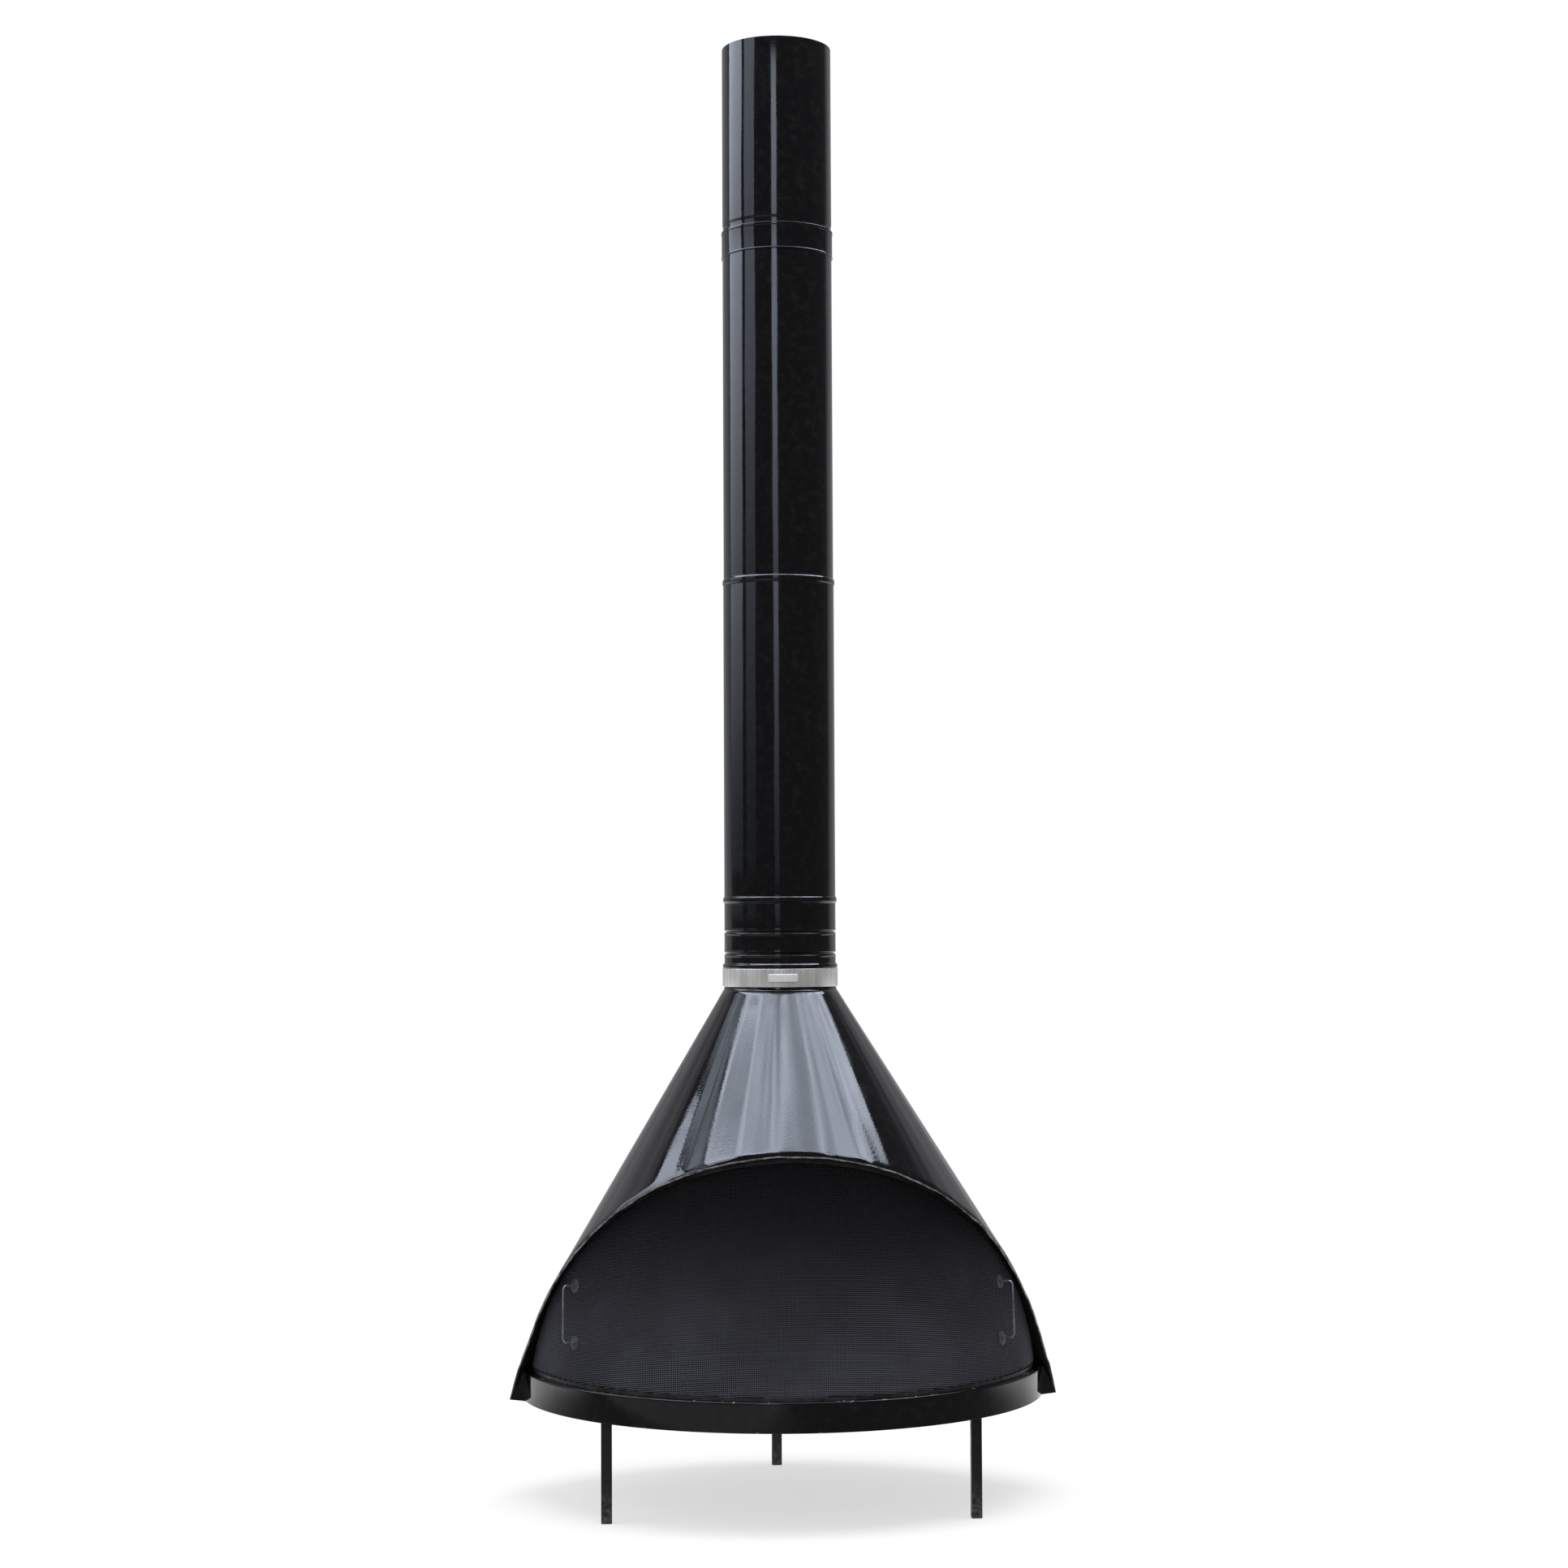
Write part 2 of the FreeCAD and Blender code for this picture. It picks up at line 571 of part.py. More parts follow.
def screen_field(drawn_in, floor):
    """The part of space that the screen may fill, drawn in from the edges."""
    room = hood_body(HEARTH_Z, HOOD_TOP - 100, SHEET + WALL_CLEAR + drawn_in)
    room = room.common(opening_prism(OPENING_CLEAR + drawn_in))
    return room.common(block(-FAR, FAR, -FAR, FLUE_Y, floor, FAR))


def screen_point(side, height):
    """A point on the screen's middle surface and the outward direction there."""
    angle = math.radians(HANDLE_ANGLE)
    out = V(side * math.sin(angle), 0, 0) - SCREEN_BACK * math.cos(angle)
    return SCREEN_FOOT + out * SCREEN_R + SCREEN_AXIS * height, out


def handle_holes():
    holes = []
    for side in (-1, 1):
        for height in (HANDLE_LOW, HANDLE_LOW + HANDLE_PITCH):
            holes.append(screen_point(side, height))
    return holes


def make_screen_parts():
    floor = BAND_TOP + LIFT
    field = screen_field(0, floor)
    inner_field = screen_field(BINDING_WIDTH, floor + RAIL_HEIGHT)
    mesh = screen_tube(SCREEN_THICK).common(inner_field)
    for point, out in handle_holes():
        mesh = mesh.cut(Part.makeCylinder(HANDLE_WIRE_R + HANDLE_CLEAR, 20,
                                          point - out * 10, out))
    edge = screen_tube(BINDING_THICK).common(field).cut(inner_field)
    low = block(-FAR, FAR, -FAR, FAR, 0, floor + RAIL_HEIGHT)
    return mesh, edge.cut(low), edge.common(low)


def make_handle(side):
    low, out = screen_point(side, HANDLE_LOW)
    high, _ = screen_point(side, HANDLE_LOW + HANDLE_PITCH)
    up = SCREEN_AXIS
    bend = HANDLE_BEND
    diagonal = bend * (1 - math.sqrt(0.5))
    start = low - out * HANDLE_TAIL
    low_in = low + out * (HANDLE_REACH - bend)
    low_mid = low + out * (HANDLE_REACH - diagonal) + up * diagonal
    low_up = low + out * HANDLE_REACH + up * bend
    high_up = high + out * HANDLE_REACH - up * bend
    high_mid = high + out * (HANDLE_REACH - diagonal) - up * diagonal
    high_in = high + out * (HANDLE_REACH - bend)
    end = high - out * HANDLE_TAIL
    edges = [Part.LineSegment(start, low_in).toShape(),
             Part.Arc(low_in, low_mid, low_up).toShape(),
             Part.LineSegment(low_up, high_up).toShape(),
             Part.Arc(high_up, high_mid, high_in).toShape(),
             Part.LineSegment(high_in, end).toShape()]
    section = Part.Wire(Part.makeCircle(HANDLE_WIRE_R, start, out))
    return Part.Wire(edges).makePipeShell([section], True, False)


def make_handle_washers():
    """A washer on each face of the screen at each handle hole."""
    washers = []
    for point, out in handle_holes():
        outer_low = point + out * (SCREEN_THICK / 2)
        inner_low = point - out * (SCREEN_THICK / 2 + WASHER_THICK + WASHER_SEAT)
        for low in (outer_low, inner_low):
            ring = Part.makeCylinder(WASHER_R, WASHER_THICK, low, out)
            hole = Part.makeCylinder(HANDLE_WIRE_R, WASHER_THICK, low, out)
            washers.append(ring.cut(hole))
    return Part.makeCompound(washers)


def make_handle_nuts():
    nuts = []
    for point, out in handle_holes():
        seat = point - out * (SCREEN_THICK / 2 + WASHER_THICK + WASHER_SEAT)
        nut = hexagon(HANDLE_NUT_AF, HANDLE_NUT_THICK, seat, out * -1)
        nuts.append(nut.cut(Part.makeCylinder(HANDLE_WIRE_R, 10, seat + out, out * -1)))
    return Part.makeCompound(nuts)


# ---- Damper: a disc that stands upright in the throat when it is open
def make_spindle():
    length = 2 * (NECK_R - SPINDLE_SHORT)
    return Part.makeCylinder(SPINDLE_R, length, V(-length / 2, FLUE_Y, SPINDLE_Z), V(1, 0, 0))


def make_damper_plate():
    front = FLUE_Y - SPINDLE_R - DAMPER_THICK
    return Part.makeCylinder(DAMPER_R - SPINDLE_R, DAMPER_THICK, V(0, front, SPINDLE_Z),
                             V(0, 1, 0))


def make_damper_clips():
    """Two saddle clips, each bent over the spindle, that hold the plate to it."""
    clips = []
    seat = FLUE_Y - SPINDLE_R
    outer = SPINDLE_R + CLIP_SHEET
    for side in (-1, 1):
        x_low = side * CLIP_OFFSET - CLIP_WIDTH / 2
        x_high = x_low + CLIP_WIDTH
        start = V(x_low, FLUE_Y, SPINDLE_Z)
        rear = block(x_low, x_high, FLUE_Y, FLUE_Y + 2 * outer, SPINDLE_Z - outer,
                     SPINDLE_Z + outer)
        arch = Part.makeCylinder(outer, CLIP_WIDTH, start, V(1, 0, 0)).common(rear)
        sides = block(x_low, x_high, seat, FLUE_Y, SPINDLE_Z - outer, SPINDLE_Z + outer)
        feet = block(x_low, x_high, seat, seat + CLIP_SHEET, SPINDLE_Z - CLIP_FOOT,
                     SPINDLE_Z + CLIP_FOOT)
        bore = Part.makeCylinder(SPINDLE_R, CLIP_WIDTH, start, V(1, 0, 0))
        slot = block(x_low, x_high, seat, FLUE_Y, SPINDLE_Z - SPINDLE_R, SPINDLE_Z + SPINDLE_R)
        clips.append(arch.fuse([sides, feet]).cut(bore).cut(slot).removeSplitter())
    return Part.makeCompound(clips)


def make_damper_handle():
    """An arm from a lug behind the spindle, leaning back, with a ring for a hook at its end."""
    angle = math.radians(DAMPER_ARM_ANGLE)
    down = V(0, math.sin(angle), -math.cos(angle))
    centre = V(0, FLUE_Y, SPINDLE_Z)
    lug = block(-DAMPER_LUG, DAMPER_LUG, FLUE_Y, FLUE_Y + DAMPER_LUG + 2,
                SPINDLE_Z - DAMPER_LUG, SPINDLE_Z + DAMPER_LUG)
    start = centre + down * (SPINDLE_R + 2)
    arm = Part.makeCylinder(DAMPER_ARM_R, DAMPER_ARM - SPINDLE_R - 2, start, down)
    ring_centre = centre + down * (DAMPER_ARM + DAMPER_RING_R - DAMPER_ARM_R / 2)
    ring = Part.makeTorus(DAMPER_RING_R, DAMPER_ARM_R, ring_centre, V(1, 0, 0))
    bore = Part.makeCylinder(SPINDLE_R, 4 * DAMPER_LUG, centre - V(2 * DAMPER_LUG, 0, 0),
                             V(1, 0, 0))
    return lug.fuse([arm, ring]).cut(bore).removeSplitter()


def placed(shape, x, y):
    copy = shape.copy()
    copy.translate(V(x, y, 0))
    return copy


def main():
    os.makedirs("parts", exist_ok=True)
    save(make_top_pipe(), "flue_pipe_top")
    save(make_collar(), "flue_collar")
    save(beaded_pipe(PIPE_R, LOWER_PIPE_TOP, UPPER_PIPE_TOP, LOWER_PIPE_R), "flue_pipe_upper")
    save(beaded_pipe(LOWER_PIPE_R, ADAPTER_TOP, LOWER_PIPE_TOP, LOWER_PIPE_R),
         "flue_pipe_lower")
    save(make_adapter(), "flue_adapter")
    save(make_trim_band(), "trim_band")
    save(make_badge(), "trim_badge")
    save(make_hood(), "hood")
    save(make_hearth_band(), "hearth_band")
    save(make_pan(), "hearth_pan")
    save(make_firebrick(), "firebrick_hearth")
    gusset = make_gusset()
    save(gusset, "gusset_right")
    save(mirrored(gusset), "gusset_left")
    glide = make_glide()
    for name, (x, y) in leg_places().items():
        save(placed(make_leg(leg_turn(x, y)), x, y), "leg_" + name)
        save(placed(glide, x, y), "foot_glide_" + name)
    bolt = make_leg_bolt()
    nut = make_leg_nut()
    save(Part.makeCompound([placed(bolt, x, y) for x, y in bolt_places()]), "leg_bolts")
    save(Part.makeCompound([placed(nut, x, y) for x, y in bolt_places()]), "leg_nuts")
    mesh, binding, rail = make_screen_parts()
    save(mesh, "screen_mesh")
    save(binding, "screen_edge_binding")
    save(rail, "screen_bottom_rail")
    save(make_handle(-1), "screen_handle_left")
    save(make_handle(1), "screen_handle_right")
    save(make_handle_washers(), "handle_washers")
    save(make_handle_nuts(), "handle_nuts")
    save(make_spindle(), "damper_spindle")
    save(make_damper_plate(), "damper_plate")
    save(make_damper_clips(), "damper_clips")
    save(make_damper_handle(), "damper_handle")


main()
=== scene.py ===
import json
import math
import random

import bmesh
import bpy
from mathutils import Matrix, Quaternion, Vector
from mathutils.bvhtree import BVHTree


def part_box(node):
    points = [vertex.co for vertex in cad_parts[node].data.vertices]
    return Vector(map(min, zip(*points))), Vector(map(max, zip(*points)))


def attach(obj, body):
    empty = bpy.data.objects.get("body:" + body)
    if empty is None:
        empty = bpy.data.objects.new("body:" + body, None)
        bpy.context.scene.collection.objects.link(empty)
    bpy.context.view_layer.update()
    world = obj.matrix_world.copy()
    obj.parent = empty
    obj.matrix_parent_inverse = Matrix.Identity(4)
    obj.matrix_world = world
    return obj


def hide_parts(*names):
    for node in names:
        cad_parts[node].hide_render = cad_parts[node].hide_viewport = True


# The looks of a free-standing cone fireplace: enamelled hood and stove pipe, woven screen.
# Everything is in metres in the CAD frame: +Z up, the opening faces -Y, the floor is Z = 0.

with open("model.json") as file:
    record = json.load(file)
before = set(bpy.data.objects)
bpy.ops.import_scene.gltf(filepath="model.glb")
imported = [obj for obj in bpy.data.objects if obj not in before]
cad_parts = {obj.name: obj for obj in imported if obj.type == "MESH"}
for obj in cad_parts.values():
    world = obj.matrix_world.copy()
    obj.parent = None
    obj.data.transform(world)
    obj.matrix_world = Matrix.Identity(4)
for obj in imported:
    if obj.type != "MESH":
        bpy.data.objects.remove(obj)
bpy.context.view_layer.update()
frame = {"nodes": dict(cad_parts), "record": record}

MM = 0.001
SEGMENTS = 240

# ---- Sizes repeated from the CAD source
SHEET = 1.6 * MM
PIPE_WALL = 0.8 * MM
SLIP = 0.15 * MM
FLUE_Y = frame["record"]["mounts"][0]["pos_m"][1]
HEARTH_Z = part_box("hood")[0].z
NECK_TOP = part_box("hood")[1].z
NECK_HEIGHT = 38 * MM
HOOD_TOP = NECK_TOP - NECK_HEIGHT
NECK_R = 104 * MM
HOOD_BASE_R = 556 * MM
HOOD_BASE_FORWARD = 320 * MM
CUT_FOOT = 75 * MM
CUT_LEAN = 321 * MM
CUT_RISE = 462 * MM
CUT_BOW = 25 * MM
HEM_WIDTH = 9 * MM
BAND_R = 481 * MM
BAND_Y = FLUE_Y + 8 * MM
BAND_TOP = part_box("hearth_band")[1].z
BAND_LIP = 16 * MM
BAND_RETURN = 9 * MM
BAND_END_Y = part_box("hearth_band")[1].y
SPIGOT = 38 * MM
BEAD_HEIGHT = 14 * MM
BEAD_OUT = 2.3 * MM
PIPE_R = 102.4 * MM
LOWER_PIPE_R = 103.3 * MM
NECK_IN_R = 101.1 * MM
COLLAR_R = 104.5 * MM
TRIM_R = 106.9 * MM
ADAPTER_FOOT_R = 106.4 * MM
SCREEN_R = 466 * MM
SCREEN_LEAN = math.radians(12.5)
SCREEN_SETBACK = 10 * MM
HANDLE_ANGLE = math.radians(54)
HANDLE_LOW = 117 * MM
HANDLE_PITCH = 100 * MM
HANDLE_REACH = 26 * MM
HANDLE_WIRE_R = 1.6 * MM
HANDLE_BEND = 9 * MM
HANDLE_TAIL = 9 * MM
SCREEN_THICK = 1.2 * MM
WASHER_R = 12.5 * MM
WASHER_THICK = 1.2 * MM

# ---- The looks' own sizes
WEAVE_PITCH = 3.6 * MM
WEAVE_WIRE_R = 0.60 * MM
SEAM_HALF = 0.039        # half the pipes' lock seam, in radians
SEAM_EDGE = 0.006
SEAM_RISE = 0.7 * MM
EDGE_DIP = 2.0 * MM      # how far the opening's edge is drawn in
EDGE_DIP_WIDTH = 14 * MM
LAP_STEP = 1.0 * MM


# ---- Meshes
def make_piece(name, points, faces, materials, body, nodes=(), marks=None, sharp=32):
    """A mesh object that rides on a body. marks gives each face's material number."""
    mesh = bpy.data.meshes.new(name)
    mesh.from_pydata([tuple(p) for p in points], [], faces)
    for material in materials:
        mesh.materials.append(material)
    if marks is not None:
        mesh.polygons.foreach_set("material_index", marks)
    shape = bmesh.new()
    shape.from_mesh(mesh)
    bmesh.ops.recalc_face_normals(shape, faces=shape.faces)
    shape.to_mesh(mesh)
    shape.free()
    mesh.polygons.foreach_set("use_smooth", [True] * len(mesh.polygons))
    mesh.set_sharp_from_angle(angle=math.radians(sharp))
    piece = bpy.data.objects.new(name, mesh)
    bpy.context.scene.collection.objects.link(piece)
    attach(piece, body)
    if nodes:
        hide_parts(*nodes)
    return piece


def rounded(corners, steps=4):
    """(r, z, fillet, mark) corners of a closed outline to (r, z, mark) points with rounded corners."""
    points = []
    count = len(corners)
    for i in range(count):
        r, z, fillet, mark = corners[i]
        here = Vector((r, z))
        before = Vector(corners[i - 1][:2])
        after = Vector(corners[(i + 1) % count][:2])
        to_before, to_after = before - here, after - here
        reach = min(fillet, 0.48 * to_before.length, 0.48 * to_after.length)
        if reach <= 0:
            points.append((r, z, mark))
            continue
        start = here + to_before.normalized() * reach
        end = here + to_after.normalized() * reach
        for k in range(steps + 1):
            t = k / steps
            p = start * (1 - t) ** 2 + here * 2 * t * (1 - t) + end * t ** 2
            points.append((p.x, p.y, mark))
    return points


def turned(outline, angles, centre, swell=None):
    """Points, faces and marks of a closed (r, z, mark) outline turned about an upright axis."""
    rows = len(outline)
    points, faces, marks = [], [], []
    for angle in angles:
        side, front = math.sin(angle), math.cos(angle)
        for r, z, _ in outline:
            reach = r + (swell(angle, r, z) if swell else 0.0)
            points.append((centre[0] + reach * side, centre[1] - reach * front, z))
    count = len(angles)
    for k in range(count):
        here, there = k * rows, (k + 1) % count * rows
        for i in range(rows):
            j = (i + 1) % rows
            faces.append((here + i, there + i, there + j, here + j))
            marks.append(outline[i][2])
    return points, faces, marks


def ring_angles(seam):
    """Even angles round a pipe, closer together at the lock seam, which is at the back."""
    angles = [2 * math.pi * k / SEGMENTS for k in range(SEGMENTS)]
    if not seam:
        return angles
    edge = SEAM_HALF + SEAM_EDGE
    kept = [a for a in angles if abs(a - math.pi) > edge + 0.004]
    for offset in (edge, SEAM_HALF, SEAM_HALF * 0.9, SEAM_HALF * 0.3):
        kept += [math.pi - offset, math.pi + offset]
    return sorted(kept)


def lock_seam(low, high, r_least):
    """A raised flat seam up the back of a pipe, between two heights."""
    def swell(angle, r, z):
        if r < r_least or not low < z < high:
            return 0.0
        side = (SEAM_HALF + SEAM_EDGE - abs(angle - math.pi)) / SEAM_EDGE
        return SEAM_RISE * min(max(side, 0.0), 1.0)
    return swell


def make_turned(name, corners, materials, nodes, body="stove", seam=None, sharp=32):
    outline = rounded(corners)
    points, faces, marks = turned(outline, ring_angles(seam is not None), (0.0, FLUE_Y), seam)
    return make_piece(name, points, faces, materials, body, nodes, marks, sharp)


def tube_along(path, radius, sides=14):
    """A round wire along a path of points, with domed ends."""
    path = [Vector(p) for p in path]
    first = (path[1] - path[0]).normalized()
    last = (path[-1] - path[-2]).normalized()
    domed = [(path[0] - first * radius * 0.45, 0.45, first)]
    for i, p in enumerate(path):
        before = path[max(i - 1, 0)]
        after = path[min(i + 1, len(path) - 1)]
        domed.append((p, 1.0, (after - before).normalized()))
    domed.append((path[-1] + last * radius * 0.45, 0.45, last))
    side = first.orthogonal().normalized()
    points, faces = [], []
    for centre, share, along in domed:
        side = (side - along * side.dot(along)).normalized()
        other = along.cross(side)
        for k in range(sides):
            a = 2 * math.pi * k / sides
            points.append(centre + (side * math.cos(a) + other * math.sin(a)) * radius * share)
    for i in range(len(domed) - 1):
        for k in range(sides):
            j = (k + 1) % sides
            here, there = i * sides, (i + 1) * sides
            faces.append((here + k, here + j, there + j, there + k))
    faces.append(tuple(range(sides - 1, -1, -1)))
    faces.append(tuple(range(len(points) - sides, len(points))))
    return points, faces


def joined(parts):
    """Several (points, faces) in one."""
    points, faces = [], []
    for more_points, more_faces in parts:
        start = len(points)
        points += list(more_points)
        faces += [tuple(i + start for i in face) for face in more_faces]
    return points, faces


# ---- Node helpers for the materials
class Look:
    """A material with a Principled shader, and short ways to add procedural nodes to it."""

    def __init__(self, name, colour, roughness, metallic=0.0, ior=1.5):
        self.material = bpy.data.materials.new(name)
        self.material.use_nodes = True
        self.tree = self.material.node_tree
        self.shader = self.tree.nodes["Principled BSDF"]
        self.set("Base Color", (*colour, 1.0))
        self.set("Roughness", roughness)
        self.set("Metallic", metallic)
        self.set("IOR", ior)
        self.place = self.tree.nodes.new("ShaderNodeTexCoord").outputs["Object"]
        self.height = None

    def set(self, socket, value):
        self.shader.inputs[socket].default_value = value

    def link(self, source, target):
        self.tree.links.new(source, target)

    def noise(self, scale, detail=3.0, rough=0.55, stretch=(1, 1, 1), warp=0.0):
        mapping = self.tree.nodes.new("ShaderNodeMapping")
        mapping.inputs["Scale"].default_value = stretch
        self.link(self.place, mapping.inputs["Vector"])
        node = self.tree.nodes.new("ShaderNodeTexNoise")
        node.inputs["Scale"].default_value = scale
        node.inputs["Detail"].default_value = detail
        node.inputs["Roughness"].default_value = rough
        node.inputs["Distortion"].default_value = warp
        self.link(mapping.outputs["Vector"], node.inputs["Vector"])
        return node.outputs["Fac"]

    def cells(self, scale, stretch=(1, 1, 1)):
        mapping = self.tree.nodes.new("ShaderNodeMapping")
        mapping.inputs["Scale"].default_value = stretch
        self.link(self.place, mapping.inputs["Vector"])
        node = self.tree.nodes.new("ShaderNodeTexVoronoi")
        node.inputs["Scale"].default_value = scale
        self.link(mapping.outputs["Vector"], node.inputs["Vector"])
        return node.outputs["Distance"]

    def span(self, source, low, high, to_low=0.0, to_high=1.0):
        """source from low..high to to_low..to_high, held at the ends."""
        node = self.tree.nodes.new("ShaderNodeMapRange")
        node.interpolation_type = "SMOOTHSTEP"
        self.link(source, node.inputs["Value"])
        for name, value in (("From Min", low), ("From Max", high),
                            ("To Min", to_low), ("To Max", to_high)):
            node.inputs[name].default_value = value
        return node.outputs["Result"]

    def math(self, operation, a, b):
        node = self.tree.nodes.new("ShaderNodeMath")
        node.operation = operation
        for socket, value in zip(node.inputs, (a, b)):
            if isinstance(value, (int, float)):
                socket.default_value = value
            else:
                self.link(value, socket)
        return node.outputs["Value"]

    def axis(self, letter):
        node = self.tree.nodes.new("ShaderNodeSeparateXYZ")
        self.link(self.place, node.inputs[0])
        return node.outputs[letter]

    def colours(self, factor, first, second):
        node = self.tree.nodes.new("ShaderNodeMix")
        node.data_type = "RGBA"
        for name, value in (("A", first), ("B", second)):
            socket = [s for s in node.inputs if s.name == name and s.type == "RGBA"][0]
            if isinstance(value, tuple):
                socket.default_value = (*value, 1.0)
            else:
                self.link(value, socket)
        self.link(factor, node.inputs[0])
        return [s for s in node.outputs if s.type == "RGBA"][0]

    def base(self, colour):
        self.link(colour, self.shader.inputs["Base Color"])

    def rough(self, value):
        self.link(value, self.shader.inputs["Roughness"])

    def bump(self, height, distance, strength=1.0):
        """Adds a bump on top of those already there."""
        node = self.tree.nodes.new("ShaderNodeBump")
        node.inputs["Distance"].default_value = distance
        node.inputs["Strength"].default_value = strength
        self.link(height, node.inputs["Height"])
        if self.height is not None:
            self.link(self.height, node.inputs["Normal"])
        self.height = node.outputs["Normal"]
        self.link(self.height, self.shader.inputs["Normal"])


# ---- Materials
def enamel(name, peel_scale, peel, wave, wave_stretch):
    """Gloss black enamel: orange peel, slow waves in the sheet, faint dust and uneven gloss."""
    look = Look(name, (0.004, 0.004, 0.0045), 0.07, ior=1.55)
    dust = look.span(look.noise(60, 6, 0.65), 0.45, 0.75)
    look.base(look.colours(dust, (0.0012, 0.0012, 0.0016), (0.0045, 0.0044, 0.0046)))
    look.rough(look.span(look.noise(14, 5, 0.6), 0.3, 0.75, 0.045, 0.12))
    look.bump(look.noise(7, 2, 0.5, wave_stretch), wave)
    look.bump(look.noise(peel_scale, 2, 0.45), peel)
    return look


def enamel_pipe():
    return enamel("enamel_pipe", 300, 0.00003, 0.0007, (2.2, 2.2, 0.4)).material


def enamel_hood():
    return enamel("enamel_hood", 210, 0.00006, 0.0004, (1, 1, 0.8)).material


def enamel_band():
    """The band's enamel, chipped to the grey ground coat here and there along both edges."""
    look = enamel("enamel_band", 260, 0.000028, 0.0006, (2.2, 2.2, 0.5))
    z = look.axis("Z")
    low = look.span(z, HEARTH_Z, HEARTH_Z + 0.0028, 1.0, 0.0)
    high = look.span(z, BAND_TOP - 0.0022, BAND_TOP, 0.0, 1.0)
    edge = look.math("MAXIMUM", low, high)
    spots = look.span(look.noise(95, 4, 0.6), 0.65, 0.68)
    chips = look.math("MULTIPLY", edge, spots)
    before = look.shader.inputs["Base Color"].links[0].from_socket
    look.base(look.colours(chips, before, (0.23, 0.21, 0.19)))
    gloss = look.shader.inputs["Roughness"].links[0].from_socket
    look.rough(look.math("MAXIMUM", gloss, look.math("MULTIPLY", chips, 0.7)))
    return look.material


def enamel_hem():
    """Enamel on the rolled edge, lighter grey in patches: a painted highlight along the edge, and
    enamel rubbed thin where the screen and hands brush past.
    """
    look = Look("enamel_hem", (0.05, 0.05, 0.052), 0.25)
    # painted highlight and wear: lighter grey patches along the rolled edge
    rubbed_and_highlight = look.span(look.noise(45, 5, 0.65), 0.32, 0.66)
    look.base(look.colours(rubbed_and_highlight, (0.020, 0.020, 0.022), (0.16, 0.16, 0.165)))
    look.rough(look.span(rubbed_and_highlight, 0.0, 1.0, 0.15, 0.38))
    look.bump(look.noise(320, 3, 0.5), 0.00004)
    return look.material


def soot():
    """Sheet metal with years of smoke on it."""
    look = Look("soot", (0.012, 0.010, 0.009), 0.9)
    cloud = look.span(look.noise(9, 6, 0.6), 0.35, 0.7)
    look.base(look.colours(cloud, (0.005, 0.005, 0.0048), (0.020, 0.017, 0.014)))
    look.rough(look.span(look.noise(40, 4, 0.6), 0.3, 0.7, 0.72, 0.95))
    look.bump(look.noise(420, 4, 0.6), 0.0002)
    return look.material


def brushed(name, colour, spread=0.10, rough=0.30, grain=(1, 1, 0.012)):
    """Stainless steel brushed up and down."""
    look = Look(name, colour, rough, 0.72)
    lines = look.noise(1500, 3, 0.6, grain)
    broad = look.noise(130, 3, 0.6, grain)
    dark = tuple(c * 0.84 for c in colour)
    mixed = look.math("ADD", look.math("MULTIPLY", lines, 0.5),
                      look.math("MULTIPLY", broad, 0.5))
    look.base(look.colours(look.span(mixed, 0.36, 0.64), dark, colour))
    look.rough(look.span(mixed, 0.3, 0.7, rough - spread, rough + spread))
    look.bump(lines, 0.00003)
    return look.material


def plain_metal(name, dark, light, rough, metallic=1.0, grain=240, depth=0.00004):
    """Metal with cloudy tarnish, uneven gloss and a fine skin."""
    look = Look(name, light, rough, metallic)
    cloud = look.span(look.noise(35, 6, 0.62), 0.35, 0.68)
    look.base(look.colours(cloud, dark, light))
    look.rough(look.span(look.noise(90, 5, 0.6), 0.3, 0.7, rough - 0.08, rough + 0.12))
    look.bump(look.noise(grain, 5, 0.6), depth)
    return look.material


def pan_steel():
    """Hot-rolled sheet with mill scale and a little rust."""
    look = Look("pan_steel", (0.06, 0.058, 0.06), 0.5, 0.6)
    rust = look.span(look.noise(16, 8, 0.7), 0.58, 0.74)
    look.base(look.colours(rust, (0.013, 0.013, 0.014), (0.040, 0.022, 0.014)))
    look.rough(look.span(rust, 0.0, 1.0, 0.42, 0.85))
    look.bump(look.noise(300, 6, 0.65), 0.00012)
    return look.material


def firebrick():
    """Cast refractory: sandy, pitted, darkened by fire in the middle."""
    look = Look("firebrick", (0.24, 0.19, 0.13), 0.9)
    grains = look.span(look.noise(700, 4, 0.7), 0.35, 0.65)
    clay = look.colours(grains, (0.040, 0.034, 0.028), (0.075, 0.064, 0.052))
    smoke = look.span(look.noise(6, 6, 0.6), 0.36, 0.60)
    look.base(look.colours(smoke, clay, (0.012, 0.011, 0.010)))
    look.rough(look.span(grains, 0.0, 1.0, 0.80, 0.97))
    look.bump(look.span(look.cells(260), 0.0, 0.35), 0.0006)
    look.bump(look.noise(900, 5, 0.6), 0.0004)
    return look.material


def leg_paint():
    """Satin black paint, lighter grey in patches towards the floor: a painted reflection of the floor,
    with some scuffs.
    """
    look = Look("leg_paint", (0.012, 0.012, 0.012), 0.32)
    z = look.axis("Z")
    low = look.span(z, 0.0, 0.07, 1.0, 0.0)
    # painted floor reflection, partly scuffs: lighter grey patches in the lowest 7 cm
    scuffs_and_floor_reflection = look.math("MULTIPLY", low, look.span(look.noise(130, 6, 0.7), 0.38, 0.7))
    look.base(look.colours(scuffs_and_floor_reflection, (0.006, 0.006, 0.0065), (0.075, 0.072, 0.07)))
    look.rough(look.span(look.noise(60, 5, 0.6), 0.3, 0.7, 0.24, 0.46))
    look.bump(look.noise(420, 3, 0.5), 0.00004)
    look.set("Specular IOR Level", 0.3)
    return look.material


